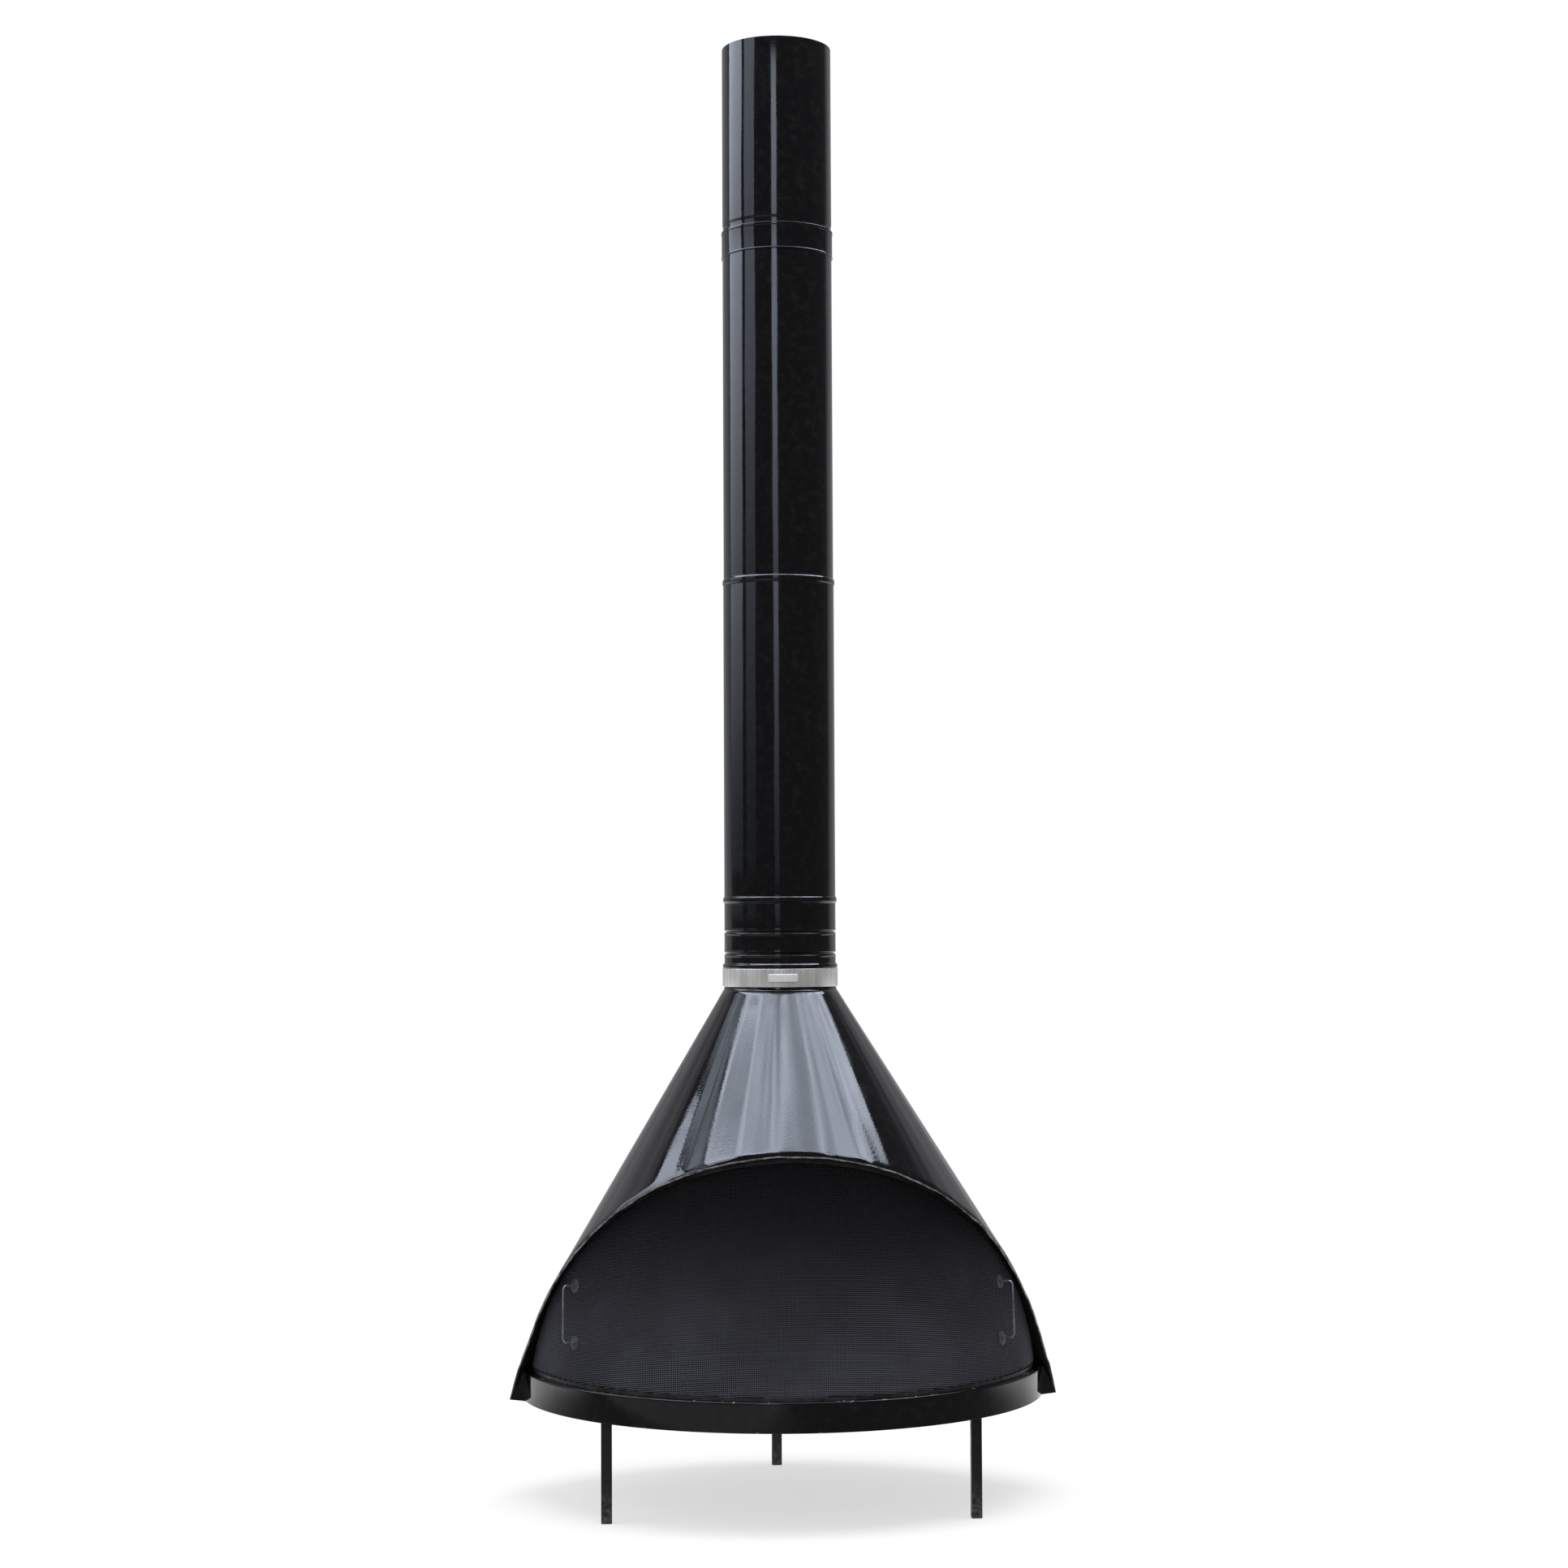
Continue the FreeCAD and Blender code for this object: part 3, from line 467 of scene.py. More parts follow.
def moulded_plastic():
    look = Look("glide_plastic", (0.02, 0.02, 0.021), 0.5)
    worn = look.span(look.noise(220, 5, 0.6), 0.4, 0.7)
    look.base(look.colours(worn, (0.012, 0.012, 0.013), (0.045, 0.044, 0.043)))
    look.rough(look.span(worn, 0.0, 1.0, 0.42, 0.65))
    look.bump(look.noise(1400, 3, 0.5), 0.00005)
    return look.material


def wire_paint():
    """Black-finished wire, lighter and bluish in patches towards the foot of the screen: a painted
    reflection of the bluish light there, with some ash.
    """
    look = Look("screen_wire", (0.03, 0.03, 0.033), 0.42, 0.35)
    # painted reflection, partly ash: lighter bluish patches towards the foot of the screen
    ash_and_sheen = look.span(look.noise(7, 5, 0.6), 0.38, 0.68, 0.70, 1.0)
    low = look.span(look.axis("Z"), 0.26, 0.56, 0.85, 0.0)
    ash_and_painted_sheen = look.math("MULTIPLY", ash_and_sheen, low)
    look.base(look.colours(ash_and_painted_sheen, (0.014, 0.014, 0.018), (0.105, 0.108, 0.130)))
    look.rough(look.span(look.noise(160, 4, 0.6), 0.3, 0.7, 0.34, 0.55))
    look.bump(look.noise(2600, 2, 0.5), 0.00003)
    return look.material


ENAMEL_PIPE = enamel_pipe()
ENAMEL_HOOD = enamel_hood()
ENAMEL_BAND = enamel_band()
ENAMEL_HEM = enamel_hem()
SOOT = soot()
TRIM_STEEL = brushed("trim_steel", (0.70, 0.69, 0.68))
BADGE_METAL = plain_metal("badge_metal", (0.76, 0.76, 0.75), (0.84, 0.84, 0.83), 0.34,
                          0.6, 900, 0.000006)
WIRE = wire_paint()
HANDLE = plain_metal("handle_wire", (0.17, 0.175, 0.19), (0.34, 0.35, 0.38), 0.27, 0.8)
WASHER = plain_metal("washer_black", (0.030, 0.030, 0.032), (0.060, 0.060, 0.063), 0.42, 0.4)
BINDING = plain_metal("screen_edge", (0.010, 0.010, 0.011), (0.028, 0.028, 0.030), 0.40, 0.4)
ZINC = plain_metal("zinc", (0.36, 0.36, 0.35), (0.58, 0.58, 0.56), 0.36)
IRON = plain_metal("damper_iron", (0.014, 0.013, 0.012), (0.045, 0.040, 0.036), 0.66, 0.5,
                   520, 0.0002)
SPINDLE = plain_metal("spindle_steel", (0.10, 0.095, 0.09), (0.26, 0.25, 0.24), 0.38)


# ---- Hood
def hood_radius(z):
    return NECK_R + (HOOD_BASE_R - NECK_R) * (HOOD_TOP - z) / (HOOD_TOP - HEARTH_Z)


def hood_centre(z):
    return FLUE_Y - HOOD_BASE_FORWARD * (HOOD_TOP - z) / (HOOD_TOP - HEARTH_Z)


def hood_point(turn, z):
    r = hood_radius(z)
    return Vector((r * math.sin(turn), hood_centre(z) - r * math.cos(turn), z))


def hood_normal(turn):
    height = HOOD_TOP - HEARTH_Z
    rise = (HOOD_BASE_FORWARD * math.cos(turn) + HOOD_BASE_R - NECK_R) / height
    return Vector((math.sin(turn), -math.cos(turn), rise)).normalized()


def cut_circle():
    """Centre and radius of the cut line's arc in the YZ plane."""
    foot = Vector((FLUE_Y - CUT_FOOT, HEARTH_Z))
    chord = Vector((-CUT_LEAN, CUT_RISE))
    normal = Vector((chord.y, -chord.x)).normalized()
    radius = chord.length ** 2 / (8 * CUT_BOW) + CUT_BOW / 2
    return foot + chord / 2 + normal * (CUT_BOW - radius), radius


CUT_CENTRE, CUT_RADIUS = cut_circle()


def cut_y(z):
    return CUT_CENTRE.x + math.sqrt(max(CUT_RADIUS ** 2 - (z - CUT_CENTRE.y) ** 2, 0.0))


def edge_height(turn):
    """The height of the hood's lower or opening edge at a turn from the front."""
    if hood_point(turn, HEARTH_Z).y >= cut_y(HEARTH_Z) - 1e-6:
        return HEARTH_Z
    low, high = HEARTH_Z, HOOD_TOP
    for _ in range(40):
        z = (low + high) / 2
        if hood_point(turn, z).y < cut_y(z):
            low = z
        else:
            high = z
    return high


def smooth(value, low, high):
    t = min(max((value - low) / (high - low), 0.0), 1.0)
    return t * t * (3 - 2 * t)


HOOD_WAVES = ((9, 0.0009), (23, 0.00125), (31, 0.0005), (57, 0.00030), (83, 0.00016))


def hood_waves():
    """The sheet was rolled in strokes, so it is a little uneven round the cone."""
    draw = random.Random(11)
    phases = [draw.uniform(0, 2 * math.pi) for _ in HOOD_WAVES]
    depth = sum(size for _, size in HOOD_WAVES)

    def inward(turn, z):
        ripple = sum(size * math.sin(count * turn + phase)
                     for (count, size), phase in zip(HOOD_WAVES, phases))
        reach = min(hood_radius(z), 0.25)
        fade = smooth(z, HEARTH_Z, 0.34) * (1 - smooth(z, HOOD_TOP - 0.03, HOOD_TOP - 0.004))
        return reach * (depth - ripple) * fade

    return inward


def edge_ripple(turn):
    slow = 0.28 * math.sin(17 * turn + 0.6) + 0.20 * math.sin(41 * turn + 2.0)
    return 1.0 + slow + 0.12 * math.sin(97 * turn + 1.0)


def lap_seam(turn, z):
    """The sheet's ends overlap at the back: one side steps in and comes back slowly."""
    past = (turn % (2 * math.pi) - math.pi) * hood_radius(z)
    if past < 0 or past > 0.08:
        return 0.0
    return LAP_STEP * (1 - smooth(past, 0.015, 0.08))


def hood_turns():
    """Turns from the front for the hood's columns, with one on each lower corner."""
    reach = hood_centre(HEARTH_Z) - cut_y(HEARTH_Z)
    corner = math.acos(reach / HOOD_BASE_R)
    front = [corner * math.sin(math.radians(90 * k / 150)) ** 0.8 for k in range(151)]
    back = [corner + (math.pi - corner) * k / 56 for k in range(1, 56)]
    right = front + back
    return [-t for t in reversed(right[1:])] + right + [math.pi, math.pi + 0.0035]


def hood_column(turn, inward):
    """(point, mark) round the sheet at one turn, from the neck down to the edge and back inside."""
    edge = edge_height(turn)
    opening = smooth(edge, BAND_TOP + 0.004, BAND_TOP + 0.02)
    thick = SHEET * (1 + opening)
    along = (hood_point(turn, HEARTH_Z + 0.1) - hood_point(turn, HEARTH_Z)) / 0.1
    normal = hood_normal(turn)
    radial = Vector((math.sin(turn), -math.cos(turn), 0))
    top = HOOD_TOP - 0.003
    length = (top - edge) * along.length

    def at(distance, depth):
        z = edge + distance / along.length
        dip = EDGE_DIP * opening * edge_ripple(turn)
        dip *= max(1 - distance / EDGE_DIP_WIDTH, 0.0) ** 2
        total = depth + dip + inward(turn, z) + lap_seam(turn, z)
        return hood_point(turn, z) - normal * total

    def neck(z, depth):
        return Vector((0, FLUE_Y, z)) + radial * (NECK_R - depth)

    near = [d * MM for d in (3, 4.5, 6, 8, 10, 12, 15)]
    far = [near[-1] + (length - near[-1]) * k / 44 for k in range(1, 45)]
    column = [(neck(NECK_TOP, 0), 0), (neck(HOOD_TOP + 0.004, 0), 0),
              (neck(HOOD_TOP + 0.0018, 0), 0)]
    column += [(at(length + 0.0012, 0.0004), 0)]
    column += [(at(d, 0), 0) for d in reversed(near + far)]
    for k in range(7):
        a = math.pi * k / 6
        column.append((at(thick / 2 * (1 - math.sin(a)), thick / 2 * (1 - math.cos(a))), 2))
    column += [(at(HEM_WIDTH, thick), 1), (at(HEM_WIDTH + 0.0006, SHEET), 1)]
    inner = [d * MM for d in (12, 15)]
    inner += [inner[-1] + (length - inner[-1]) * k / 24 for k in range(1, 25)]
    column += [(at(d, SHEET), 1) for d in inner]
    column += [(neck(HOOD_TOP + 0.002, SHEET), 1), (neck(NECK_TOP, SHEET), 0)]
    return column


def make_hood():
    inward = hood_waves()
    columns = [hood_column(turn, inward) for turn in hood_turns()]
    rows, count = len(columns[0]), len(columns)
    points = [p for column in columns for p, _ in column]
    faces, marks = [], []
    for k in range(count):
        here, there = k * rows, (k + 1) % count * rows
        for i in range(rows):
            j = (i + 1) % rows
            faces.append((here + i, there + i, there + j, here + j))
            marks.append(columns[0][i][1])
    return make_piece("hood_shell", points, faces, [ENAMEL_HOOD, SOOT, ENAMEL_HEM],
                      "stove", ["hood"], marks, 40)


# ---- Flue
def pipe_corners(radius, low, high, socket_r):
    """The outline of a pipe with a beaded lower end that seats on the next pipe down."""
    inner = radius - PIPE_WALL
    spigot = socket_r - PIPE_WALL - SLIP
    out = BEAD_OUT
    return [
        (radius, high, 0.0002, 0), (radius, low + BEAD_HEIGHT + 0.003, 0.0, 0),
        (radius, low + BEAD_HEIGHT, 0.0012, 0),
        (radius + out, low + BEAD_HEIGHT * 0.85, 0.0014, 0),
        (radius + out, low + BEAD_HEIGHT * 0.34, 0.003, 0),
        (max(radius, socket_r) + 0.0001, low + 0.0022, 0.0016, 0),
        (max(radius, socket_r) + 0.0001, low + 0.0001, 0.0002, 0),
        (spigot, low, 0.0, 0), (spigot, low - SPIGOT, 0.0, 1),
        (spigot - PIPE_WALL, low - SPIGOT, 0.0, 1), (spigot - PIPE_WALL, low, 0.0, 1),
        (inner, low + 0.004, 0.001, 1), (inner, high, 0.0002, 0),
    ]


def make_pipe(name, radius, socket_r):
    low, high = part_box(name)[0].z + SPIGOT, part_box(name)[1].z
    corners = pipe_corners(radius, low, high, socket_r)
    seam = lock_seam(low + BEAD_HEIGHT + 0.002, high + 1, radius - 0.0002)
    return make_turned(name + "_shell", corners, [ENAMEL_PIPE, SOOT], [name],
                       seam=seam)


def make_top_pipe():
    low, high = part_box("flue_pipe_top")[0].z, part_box("flue_pipe_top")[1].z
    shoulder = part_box("flue_collar")[1].z + 0.0125
    corners = [
        (PIPE_R, high, 0.0003, 0), (PIPE_R, shoulder, 0.0022, 0),
        (NECK_IN_R, shoulder - 0.004, 0.0022, 0), (NECK_IN_R, low, 0.0, 1),
        (NECK_IN_R - PIPE_WALL, low, 0.0, 1),
        (NECK_IN_R - PIPE_WALL, shoulder - 0.004, 0.002, 1),
        (PIPE_R - PIPE_WALL, shoulder, 0.002, 1), (PIPE_R - PIPE_WALL, high, 0.0003, 0),
    ]
    seam = lock_seam(shoulder + 0.003, high + 1, PIPE_R - 0.0002)
    return make_turned("flue_pipe_top_shell", corners, [ENAMEL_PIPE, SOOT],
                       ["flue_pipe_top"], seam=seam)


def make_collar():
    """A wider sleeve with a rolled lip that the top pipe's necked end drops into."""
    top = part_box("flue_collar")[1].z
    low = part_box("flue_pipe_upper")[1].z
    spigot = PIPE_R - PIPE_WALL - SLIP
    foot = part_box("flue_collar")[0].z
    inner = COLLAR_R - PIPE_WALL
    corners = [
        (COLLAR_R, top, 0.0022, 0), (COLLAR_R, top - 0.0050, 0.0012, 0),
        (COLLAR_R - 0.0007, top - 0.0062, 0.0010, 0), (COLLAR_R - 0.0007, low + 0.0032, 0.0012, 0),
        (COLLAR_R, low + 0.0022, 0.0012, 0), (COLLAR_R, low + 0.0001, 0.0009, 0),
        (spigot, low, 0.0, 0), (spigot, foot, 0.0, 1), (spigot - PIPE_WALL, foot, 0.0, 1),
        (spigot - PIPE_WALL, low + 0.001, 0.0, 1), (inner - 0.0007, low + 0.0014, 0.0, 1),
        (inner - 0.0007, top - 0.0045, 0.0, 1), (NECK_IN_R + 0.00005, top - 0.0045, 0.0, 1),
        (NECK_IN_R + 0.00005, top, 0.0006, 0),
    ]
    seam = lock_seam(low + 0.004, top - 0.006, COLLAR_R - 0.0009)
    return make_turned("flue_collar_shell", corners, [ENAMEL_PIPE, SOOT],
                       ["flue_collar"], seam=seam)


def make_adapter():
    """The short piece above the trim band, with two pressed grooves and a half-round foot."""
    low, top = NECK_TOP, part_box("flue_adapter")[1].z
    r = LOWER_PIPE_R
    spigot = NECK_R - SHEET - SLIP
    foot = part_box("flue_adapter")[0].z
    corners = [(r, top, 0.0002, 0)]
    for height in (0.067, 0.027):
        middle = low + height
        corners += [(r, middle + 0.0065, 0.0015, 0), (r + 0.0006, middle + 0.0033, 0.0012, 0),
                    (r - 0.0021, middle + 0.0008, 0.0008, 0),
                    (r - 0.0021, middle - 0.0008, 0.0008, 0),
                    (r + 0.0006, middle - 0.0033, 0.0012, 0), (r, middle - 0.0065, 0.0015, 0)]
    corners += [
        (r, low + 0.0095, 0.0008, 0), (ADAPTER_FOOT_R, low + 0.0062, 0.0014, 0),
        (ADAPTER_FOOT_R, low + 0.0001, 0.0020, 0), (spigot, low, 0.0, 1),
        (spigot, foot, 0.0, 1), (spigot - PIPE_WALL, foot, 0.0, 1),
        (spigot - PIPE_WALL, low + 0.001, 0.0, 1), (r - 0.0032, low + 0.003, 0.0, 1),
        (r - 0.0032, top - 0.040, 0.0, 1), (r - PIPE_WALL, top - 0.036, 0.0, 1),
        (r - PIPE_WALL, top, 0.0, 1),
    ]
    seam = lock_seam(low + 0.009, top - 0.001, r - 0.0013)
    return make_turned("flue_adapter_shell", corners, [ENAMEL_PIPE, SOOT],
                       ["flue_adapter"], seam=seam)


def make_trim_band():
    low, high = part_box("trim_band")[0].z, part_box("trim_band")[1].z
    thick = 0.0012
    corners = [
        (TRIM_R, high - 0.0001, 0.0014, 0), (TRIM_R, low, 0.0014, 0),
        (NECK_R + 0.0001, low, 0.0004, 0), (NECK_R + 0.0001, low + thick, 0.0, 0),
        (TRIM_R - thick, low + thick, 0.0008, 0), (TRIM_R - thick, high - thick, 0.0008, 0),
        (NECK_R + 0.0001, high - thick, 0.0, 0), (NECK_R + 0.0001, high - 0.0001, 0.0004, 0),
    ]
    return make_turned("trim_band_ring", corners, [TRIM_STEEL], ["trim_band"])


def badge_half(half_x, half_z, corner):
    """The upper half of a rounded rectangle's outline, from its right end to its left."""
    quarter = [(half_x, 0.0)]
    for k in range(6):
        a = math.pi / 2 * k / 5
        quarter.append((half_x - corner * (1 - math.cos(a)), half_z - corner * (1 - math.sin(a))))
    flat = half_x - corner
    top = [(flat * (1 - k / 10), half_z) for k in range(1, 20)]
    return quarter + top + [(-x, z) for x, z in reversed(quarter)]


def make_badge():
    """A plain pillowed plate with rounded corners, bent to the trim band."""
    low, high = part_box("trim_badge")
    half_x, half_z = (high.x - low.x) / 2, (high.z - low.z) / 2
    middle = (high.z + low.z) / 2
    rings = [(0.0, 0.0), (0.0, 0.0008), (0.0004, 0.0012), (0.0012, 0.00142), (0.0026, 0.0015)]
    points, faces = [], []
    for inset, height in rings:
        upper = badge_half(half_x - inset, half_z - inset, 0.0035 - inset)
        outline = upper + [(x, -z) for x, z in reversed(upper[1:-1])]
        for x, z in outline:
            turn = math.asin(x / TRIM_R)
            r = TRIM_R + height
            points.append((r * math.sin(turn), FLUE_Y - r * math.cos(turn), middle + z))
    around = len(outline)
    for i in range(len(rings) - 1):
        for k in range(around):
            j = (k + 1) % around
            faces.append((i * around + k, i * around + j, (i + 1) * around + j,
                          (i + 1) * around + k))
    last = (len(rings) - 1) * around
    faces.append((last, last + 1, last + around - 1))
    for k in range(1, len(upper) - 2):
        faces.append((last + k, last + k + 1, last + around - k - 1, last + around - k))
    end = last + len(upper) - 1
    faces.append((end - 1, end, end + 1))
    return make_piece("badge_plate", points, faces, [BADGE_METAL], "stove",
                      ["trim_badge"], None, 50)


# ---- Hearth band
def make_hearth_band():
    """The bent strip round the front of the hearth, with its lip and folded ends."""
    r, low, high, t = BAND_R, HEARTH_Z, BAND_TOP, SHEET
    outline = rounded([
        (r, low, 0.0005, 0), (r, high, 0.0030, 0), (r - BAND_LIP, high, 0.0005, 0),
        (r - BAND_LIP, high - t, 0.0004, 0), (r - t, high - t, 0.0016, 0),
        (r - t, low, 0.0004, 0)])
    end = math.acos((BAND_Y - BAND_END_Y) / BAND_R)
    count = 220
    rows = len(outline)
    points, faces = [], []
    for k in range(count + 1):
        turn = -end + 2 * end * k / count
        for radius, z, _ in outline:
            points.append((radius * math.sin(turn), BAND_Y - radius * math.cos(turn), z))
    for k in range(count):
        for i in range(rows):
            j = (i + 1) % rows
            faces.append((k * rows + i, (k + 1) * rows + i, (k + 1) * rows + j,
                          k * rows + j))
    faces.append(tuple(range(rows)))
    faces.append(tuple(range(count * rows + rows - 1, count * rows - 1, -1)))
    outer = BAND_R * math.sin(end)
    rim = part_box("hearth_pan")[1].z
    folds = [fold_plate(side, outer, rim, high - t) for side in (-1, 1)]
    points, faces = joined([(points, faces)] + folds)
    return make_piece("hearth_band_strip", points, faces, [ENAMEL_BAND], "stove",
                      ["hearth_band"], None, 35)


def fold_plate(side, outer, low, high):
    """The band's end turned in behind itself."""
    section = rounded([(outer - BAND_RETURN, BAND_END_Y - SHEET, 0.0004, 0),
                       (outer - SHEET * 0.6, BAND_END_Y - SHEET, 0.0004, 0),
                       (outer - SHEET * 0.6, BAND_END_Y, 0.0006, 0),
                       (outer - BAND_RETURN, BAND_END_Y, 0.0006, 0)], 2)
    rows = len(section)
    points = [(side * x, y, z) for z in (low, high) for x, y, _ in section]
    faces = [(i, (i + 1) % rows, rows + (i + 1) % rows, rows + i) for i in range(rows)]
    faces += [tuple(range(rows)), tuple(range(2 * rows - 1, rows - 1, -1))]
    return points, faces


# ---- Screen: a woven panel on a cylinder that leans back
AXIS = Vector((0, math.sin(SCREEN_LEAN), math.cos(SCREEN_LEAN)))
BACK = Vector((0, math.cos(SCREEN_LEAN), -math.sin(SCREEN_LEAN)))
SCREEN_FOOT = Vector((0, BAND_Y - BAND_R + SCREEN_SETBACK, BAND_TOP)) + BACK * SCREEN_R


def screen_out(turn):
    return Vector((math.sin(turn), 0, 0)) - BACK * math.cos(turn)


def screen_holes():
    """Where the handles pass through the screen, and the way out of it there."""
    holes = []
    for side in (-1, 1):
        out = screen_out(side * HANDLE_ANGLE)
        for height in (HANDLE_LOW, HANDLE_LOW + HANDLE_PITCH):
            holes.append((SCREEN_FOOT + out * SCREEN_R + AXIS * height, out))
    return holes


def weave_grid():
    """Which crossings of the weave lie on the CAD screen, row by row."""
    node = frame["nodes"]["screen_mesh"]
    tree = BVHTree.FromPolygons([v.co for v in node.data.vertices],
                                [tuple(p.vertices) for p in node.data.polygons])
    columns = range(-210, 211)
    outs = {j: screen_out(j * WEAVE_PITCH / SCREEN_R) for j in columns}
    grid = {}
    for i in range(-30, 160):
        base = SCREEN_FOOT + AXIS * (i * WEAVE_PITCH)
        for j in columns:
            start = base + outs[j] * (SCREEN_R - 0.02)
            if tree.ray_cast(start, outs[j], 0.04)[0] is not None:
                grid[i, j] = (base, outs[j])
    return grid


def runs(cells, step):
    """Unbroken runs of grid cells along one direction."""
    found = []
    for cell in sorted(cells):
        before = (cell[0] - step[0], cell[1] - step[1])
        if before in cells:
            continue
        run = [cell]
        while (run[-1][0] + step[0], run[-1][1] + step[1]) in cells:
            run.append((run[-1][0] + step[0], run[-1][1] + step[1]))
        if len(run) > 1:
            found.append(run)
    return found


def weave_wires(grid, step, over, first):
    """Every other wire, from the first, passing over and under the crossing ones."""
    points, faces = [], []
    for run in runs(grid, step):
        if (run[0][0] * step[1] + run[0][1] * step[0]) % 2 != first:
            continue
        start = len(points)
        for i, j in run:
            base, out = grid[i, j]
            side = AXIS if step == (0, 1) else AXIS.cross(out)
            rise = WEAVE_WIRE_R * (over if (i + j) % 2 else -over)
            centre = base + out * (SCREEN_R + rise)
            for across, outward in ((1, 0), (0, 1), (-1, 0), (0, -1)):
                points.append(centre + (side * across + out * outward) * WEAVE_WIRE_R)
        for k in range(len(run) - 1):
            for a in range(4):
                b = (a + 1) % 4
                here, there = start + 4 * k, start + 4 * (k + 1)
                faces.append((here + a, here + b, there + b, there + a))
        faces.append((start + 3, start + 2, start + 1, start))
        last = len(points) - 4
        faces.append((last, last + 1, last + 2, last + 3))
    return points, faces


def make_weave():
    """The two sets of wires, each as two pieces of alternate wires."""
    grid = weave_grid()
    for name, step, over in (("screen_weft", (0, 1), 1), ("screen_warp", (1, 0), -1)):
        for first in (0, 1):
            points, faces = weave_wires(grid, step, over, first)
            nodes = ["screen_mesh"] if (name, first) == ("screen_weft", 0) else ()
            make_piece("%s_%d" % (name, first), points, faces, [WIRE], "screen",
                       nodes, None, 180)


def corner_arc(before, corner, after, radius, steps=8):
    """Points of a round bend at a right-angled corner."""
    first = (before - corner).normalized()
    second = (after - corner).normalized()
    centre = corner + (first + second) * radius
    arc = []
    for k in range(steps + 1):
        a = math.pi / 2 * k / steps
        arc.append(centre - second * radius * math.cos(a) - first * radius * math.sin(a))
    return arc


def make_handle(side):
    (low, out), (high, _) = screen_holes()[2:] if side > 0 else screen_holes()[:2]
    low_corner, high_corner = low + out * HANDLE_REACH, high + out * HANDLE_REACH
    path = [low - out * HANDLE_TAIL, low, low + out * (HANDLE_REACH - HANDLE_BEND) * 0.6]
    path += corner_arc(low, low_corner, high_corner, HANDLE_BEND)
    path += corner_arc(low_corner, high_corner, high, HANDLE_BEND)
    path += [high + out * (HANDLE_REACH - HANDLE_BEND) * 0.6, high, high - out * HANDLE_TAIL]
    name = "screen_handle_right" if side > 0 else "screen_handle_left"
    points, faces = tube_along(path, HANDLE_WIRE_R)
    return make_piece(name + "_wire", points, faces, [HANDLE], "screen", [name])


def washer(centre, out, thick):
    """A slightly dished washer with rolled edges, seated on centre and growing along out."""
    outline = rounded([(HANDLE_WIRE_R + 0.0001, 0.0, 0.0002, 0), (WASHER_R, 0.0, 0.0003, 0),
                       (WASHER_R, thick * 0.7, 0.0005, 0), (WASHER_R * 0.55, thick, 0.002, 0),
                       (HANDLE_WIRE_R + 0.0001, thick, 0.0002, 0)], 3)
    angles = [2 * math.pi * k / 40 for k in range(40)]
    points, faces, _ = turned(outline, angles, (0.0, 0.0))
    turn = Vector((0, 0, 1)).rotation_difference(out)
    return [centre + turn @ Vector(p) for p in points], faces


def make_washers():
    parts = []
    for point, out in screen_holes():
        parts.append(washer(point + out * (SCREEN_THICK / 2), out, WASHER_THICK))
        seat = point - out * (SCREEN_THICK / 2 + 0.2 * MM)
        parts.append(washer(seat, -out, WASHER_THICK))
    points, faces = joined(parts)
    return make_piece("handle_washer_set", points, faces, [WASHER], "screen",
                      ["handle_washers"])


# ---- CAD nodes that stay, with their own materials
def paint_cad_nodes():
    looks = {
        "hearth_pan": pan_steel(), "firebrick_hearth": firebrick(),
        "screen_edge_binding": BINDING, "screen_bottom_rail": BINDING,
        "handle_nuts": ZINC, "leg_bolts": ZINC, "leg_nuts": ZINC,
        "damper_spindle": SPINDLE, "damper_plate": IRON, "damper_clips": IRON,
        "damper_handle": IRON, "gusset_left": ENAMEL_BAND, "gusset_right": ENAMEL_BAND,
    }
    paint, plastic = leg_paint(), moulded_plastic()
    for place in ("front_left", "front_right", "rear"):
        looks["leg_" + place] = paint
        looks["foot_glide_" + place] = plastic
    for name, material in looks.items():
        node = frame["nodes"][name]
        node.data.materials.clear()
        node.data.materials.append(material)


# ---- Studio
def emitter(name, colour, strength):
    """A glowing card's material, and its node tree for shaping the glow."""
    material = bpy.data.materials.new(name)
    material.use_nodes = True
    tree = material.node_tree
    tree.nodes.clear()
    glow = tree.nodes.new("ShaderNodeEmission")
    glow.inputs["Color"].default_value = (*colour, 1.0)
    glow.inputs["Strength"].default_value = strength
    out = tree.nodes.new("ShaderNodeOutputMaterial")
    tree.links.new(glow.outputs[0], out.inputs["Surface"])
    material.cycles.emission_sampling = "NONE"
    return material, tree, glow


def only_reflected(obj):
    """Seen in reflections only: it lights nothing and the camera never sees it."""
    obj.visible_camera = False
    obj.visible_diffuse = False
    obj.visible_shadow = False
    obj.visible_transmission = False
    obj.visible_volume_scatter = False


def map_range(tree, source, low, high, to_low, to_high):
    node = tree.nodes.new("ShaderNodeMapRange")
    node.interpolation_type = "SMOOTHSTEP"
    tree.links.new(source, node.inputs["Value"])
    for name, value in (("From Min", low), ("From Max", high),
                        ("To Min", to_low), ("To Max", to_high)):
        node.inputs[name].default_value = value
    return node.outputs["Result"]


def combine(tree, operation, a, b):
    node = tree.nodes.new("ShaderNodeMath")
    node.operation = operation
    for socket, value in zip(node.inputs, (a, b)):
        if isinstance(value, (int, float)):
            socket.default_value = value
        else:
            tree.links.new(value, socket)
    return node.outputs["Value"]


def stage_mesh(name, points, faces, material):
    mesh = bpy.data.meshes.new(name)
    mesh.from_pydata([tuple(p) for p in points], [], faces)
    mesh.materials.append(material)
    obj = bpy.data.objects.new(name, mesh)
    bpy.context.scene.collection.objects.link(obj)
    return obj


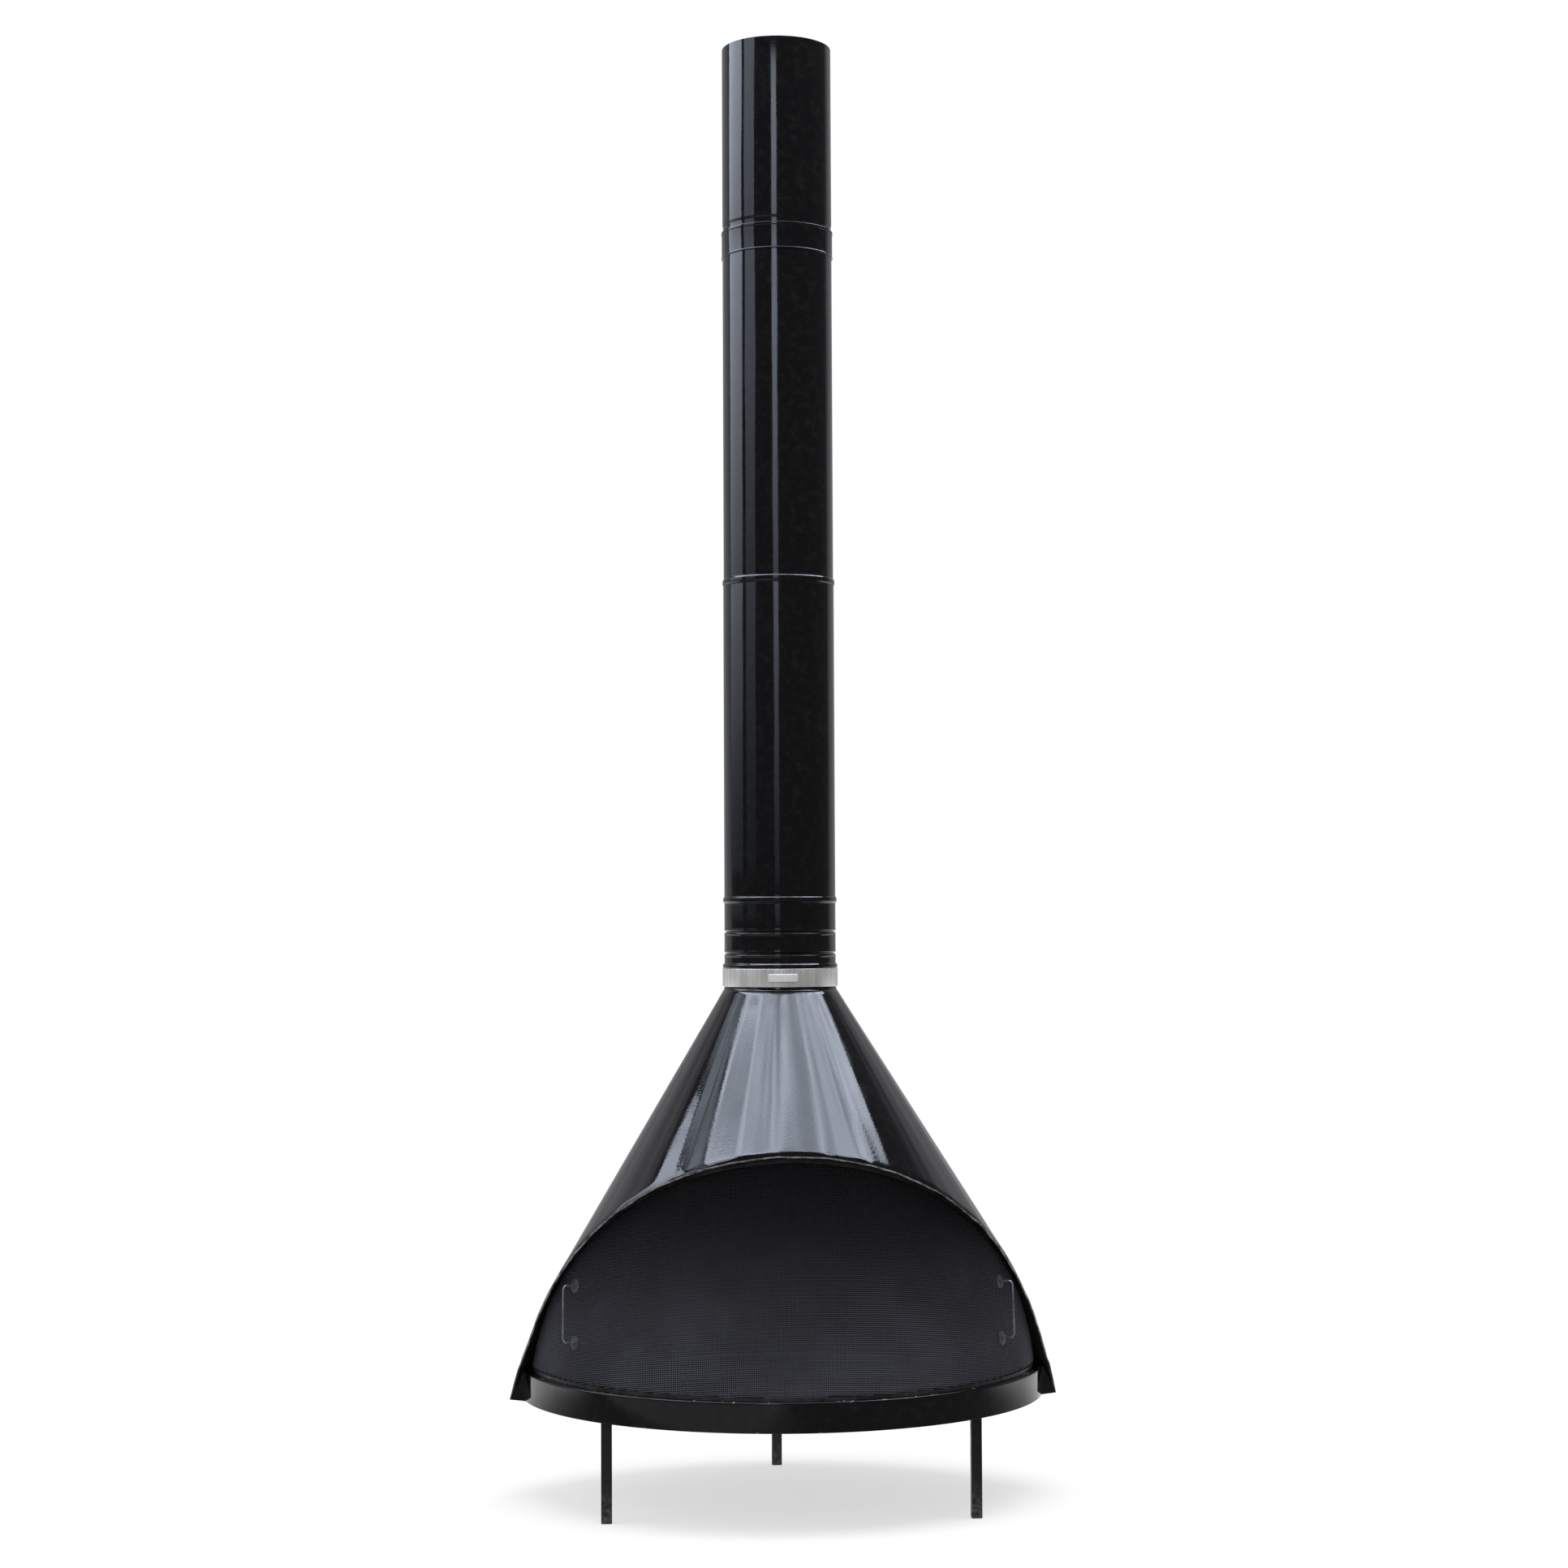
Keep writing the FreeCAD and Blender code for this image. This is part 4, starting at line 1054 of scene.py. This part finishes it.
def card(name, centre, facing, width, height, colour, strength, fade=None, blotch=0.0,
         soft=0.12):
    """A glowing rectangle that faces a point. fade dims it from one end of its height."""
    material, tree, glow = emitter(name, colour, strength)
    place = tree.nodes.new("ShaderNodeTexCoord").outputs["Object"]
    split = tree.nodes.new("ShaderNodeSeparateXYZ")
    tree.links.new(place, split.inputs[0])
    across = combine(tree, "ABSOLUTE", split.outputs["X"], 0.0)
    level = map_range(tree, across, width / 2 - soft, width / 2, 1.0, 0.0)
    if fade:
        rise = map_range(tree, split.outputs["Y"], -height / 2, height / 2, *fade)
        level = combine(tree, "MULTIPLY", level, rise)
    if blotch:
        noise = tree.nodes.new("ShaderNodeTexNoise")
        noise.inputs["Scale"].default_value = 1.6
        noise.inputs["Detail"].default_value = 2.0
        tree.links.new(place, noise.inputs["Vector"])
        patches = map_range(tree, noise.outputs["Fac"], 0.35, 0.65, 1 - blotch, 1 + blotch)
        level = combine(tree, "MULTIPLY", level, patches)
    tree.links.new(combine(tree, "MULTIPLY", level, strength), glow.inputs["Strength"])
    x, y = width / 2, height / 2
    obj = stage_mesh(name, [(-x, -y, 0), (x, -y, 0), (x, y, 0), (-x, y, 0)], [(0, 1, 2, 3)],
                     material)
    obj.location = centre
    to_point = Vector(facing) - Vector(centre)
    obj.rotation_mode = "QUATERNION"
    obj.rotation_quaternion = to_point.to_track_quat("Z", "Y")
    only_reflected(obj)
    return obj


def make_room():
    """What the gloss reflects: a dim room with a lighter wall behind the fireplace."""
    material, tree, glow = emitter("room", (0.95, 0.96, 1.0), 0.10)
    place = tree.nodes.new("ShaderNodeTexCoord").outputs["Object"]
    split = tree.nodes.new("ShaderNodeSeparateXYZ")
    tree.links.new(place, split.inputs[0])
    radius = 12.0
    wall = map_range(tree, split.outputs["Y"], 0.42 * radius, 0.62 * radius, 0.0, 0.30)
    under = map_range(tree, split.outputs["Z"], 0.5 * radius, 0.68 * radius, 1.0, 0.0)
    level = combine(tree, "ADD", combine(tree, "MULTIPLY", wall, under), 0.10)
    tree.links.new(level, glow.inputs["Strength"])
    points, faces = [], []
    rings, around = 16, 32
    for i in range(rings + 1):
        rise = math.radians(-20 + 110 * i / rings)
        for k in range(around):
            a = 2 * math.pi * k / around
            points.append((radius * math.cos(rise) * math.cos(a),
                           radius * math.cos(rise) * math.sin(a), radius * math.sin(rise)))
    for i in range(rings):
        for k in range(around):
            j = (k + 1) % around
            faces.append((i * around + k, i * around + j, (i + 1) * around + j,
                          (i + 1) * around + k))
    only_reflected(stage_mesh("room", points, faces, material))


def make_floor():
    """A pale floor that brightens to the background's white away from the object."""
    material = bpy.data.materials.new("floor")
    material.use_nodes = True
    tree = material.node_tree
    shader = tree.nodes["Principled BSDF"]
    shader.inputs["Base Color"].default_value = (0.60, 0.60, 0.595, 1.0)
    shader.inputs["Roughness"].default_value = 0.9
    shader.inputs["Specular IOR Level"].default_value = 0.0
    place = tree.nodes.new("ShaderNodeTexCoord").outputs["Object"]
    length = tree.nodes.new("ShaderNodeVectorMath")
    length.operation = "LENGTH"
    tree.links.new(place, length.inputs[0])
    far = map_range(tree, length.outputs["Value"], 0.30, 1.7, 0.62, 1.0)
    glow = tree.nodes.new("ShaderNodeEmission")
    mix = tree.nodes.new("ShaderNodeMixShader")
    tree.links.new(far, mix.inputs[0])
    tree.links.new(shader.outputs[0], mix.inputs[1])
    tree.links.new(glow.outputs[0], mix.inputs[2])
    tree.links.new(mix.outputs[0], tree.nodes["Material Output"].inputs["Surface"])
    material.cycles.emission_sampling = "NONE"
    size = 40.0
    floor = stage_mesh("floor", [(-size, -size, 0), (size, -size, 0), (size, size, 0),
                                 (-size, size, 0)], [(0, 1, 2, 3)], material)
    floor.visible_glossy = False
    dim, tree, glow = emitter("floor_in_gloss", (1.0, 0.99, 0.98), 0.30)
    place = tree.nodes.new("ShaderNodeTexCoord").outputs["Object"]
    split = tree.nodes.new("ShaderNodeSeparateXYZ")
    tree.links.new(place, split.inputs[0])
    behind = map_range(tree, split.outputs["Y"], -0.25, 1.3, 0.0, 0.95)
    left = map_range(tree, split.outputs["X"], -0.35, 0.15, 0.22, 0.0)
    front = map_range(tree, split.outputs["Y"], -0.85, -0.45, 1.0, 0.0)
    patch = combine(tree, "MULTIPLY", left, front)
    length = tree.nodes.new("ShaderNodeVectorMath")
    length.operation = "LENGTH"
    tree.links.new(place, length.inputs[0])
    near = map_range(tree, length.outputs["Value"], 0.55, 0.95, 0.65, 0.12)
    level = combine(tree, "ADD", combine(tree, "ADD", behind, patch), near)
    tree.links.new(level, glow.inputs["Strength"])
    shown = stage_mesh("floor_in_gloss", [(-size, -size, -0.001), (size, -size, -0.001),
                                          (size, size, -0.001), (-size, size, -0.001)],
                       [(0, 1, 2, 3)], dim)
    only_reflected(shown)


def make_lamp(name, centre, size, power):
    """A soft lamp for the matt surfaces. The cards stand for it in the gloss."""
    data = bpy.data.lights.new(name, "AREA")
    data.shape = "RECTANGLE"
    data.size, data.size_y = size
    data.energy = power
    lamp = bpy.data.objects.new(name, data)
    bpy.context.scene.collection.objects.link(lamp)
    lamp.location = centre
    lamp.rotation_mode = "QUATERNION"
    aim = Vector((0.0, 0.0, 0.8)) - Vector(centre)
    lamp.rotation_quaternion = aim.to_track_quat("-Z", "Y")
    lamp.visible_glossy = False
    lamp.visible_camera = False


def make_world():
    world = bpy.data.worlds.new("studio")
    world.use_nodes = True
    background = world.node_tree.nodes["Background"]
    background.inputs["Color"].default_value = (1.0, 1.0, 1.0, 1.0)
    background.inputs["Strength"].default_value = 1.0
    bpy.context.scene.world = world


def make_lighting():
    make_world()
    make_room()
    make_floor()
    bluish = (0.84, 0.93, 1.10)
    card("card_above", (0.37, 1.10, 4.5), (0.37, 1.10, 0.0), 5.46, 3.8, bluish, 5.6,
         blotch=0.34)
    card("card_above_left", (-2.80, 1.10, 4.5), (-2.80, 1.10, 0.0), 1.0, 3.8, bluish, 1.5,
         blotch=0.5, soft=0.22)
    card("card_left", (-3.9, 0.95, 3.0), (0.0, 0.1185, 2.4), 2.9, 3.6, bluish, 4.4,
         fade=(0.06, 1.0))
    card("card_left_front", (-3.6, -1.7, 3.0), (0.0, 0.1185, 2.4), 1.8, 3.6, bluish, 1.9,
         fade=(0.10, 1.0))
    card("card_front", (-0.78, -5.1, 3.0), (0.0, 0.1185, 2.4), 1.05, 3.6, bluish, 3.4,
         fade=(0.10, 1.0))
    make_lamp("lamp_above", (0.3, -0.4, 4.5), (4.0, 3.4), 260.0)
    make_lamp("lamp_left", (-3.8, -1.0, 2.8), (2.4, 2.6), 60.0)


def make_camera():
    data = bpy.data.cameras.new("camera")
    data.sensor_width = 36.0
    data.lens = 68.343
    data.clip_end = 100.0
    camera = bpy.data.objects.new("camera", data)
    bpy.context.scene.collection.objects.link(camera)
    camera.location = (-0.2867, -5.4196, 1.0530)
    aim = Vector((0.05322, 0.99763, 0.04361)).to_track_quat("-Z", "Y")
    camera.rotation_mode = "QUATERNION"
    camera.rotation_quaternion = aim @ Quaternion((0, 0, 1), math.radians(-0.263))
    bpy.context.scene.camera = camera


make_hood()
make_pipe("flue_pipe_lower", LOWER_PIPE_R, LOWER_PIPE_R)
make_pipe("flue_pipe_upper", PIPE_R, LOWER_PIPE_R)
make_top_pipe()
make_collar()
make_adapter()
make_trim_band()
make_badge()
make_hearth_band()
make_weave()
make_handle(-1)
make_handle(1)
make_washers()
paint_cad_nodes()
make_lighting()
make_camera()
bpy.context.scene.view_settings.view_transform = "Standard"
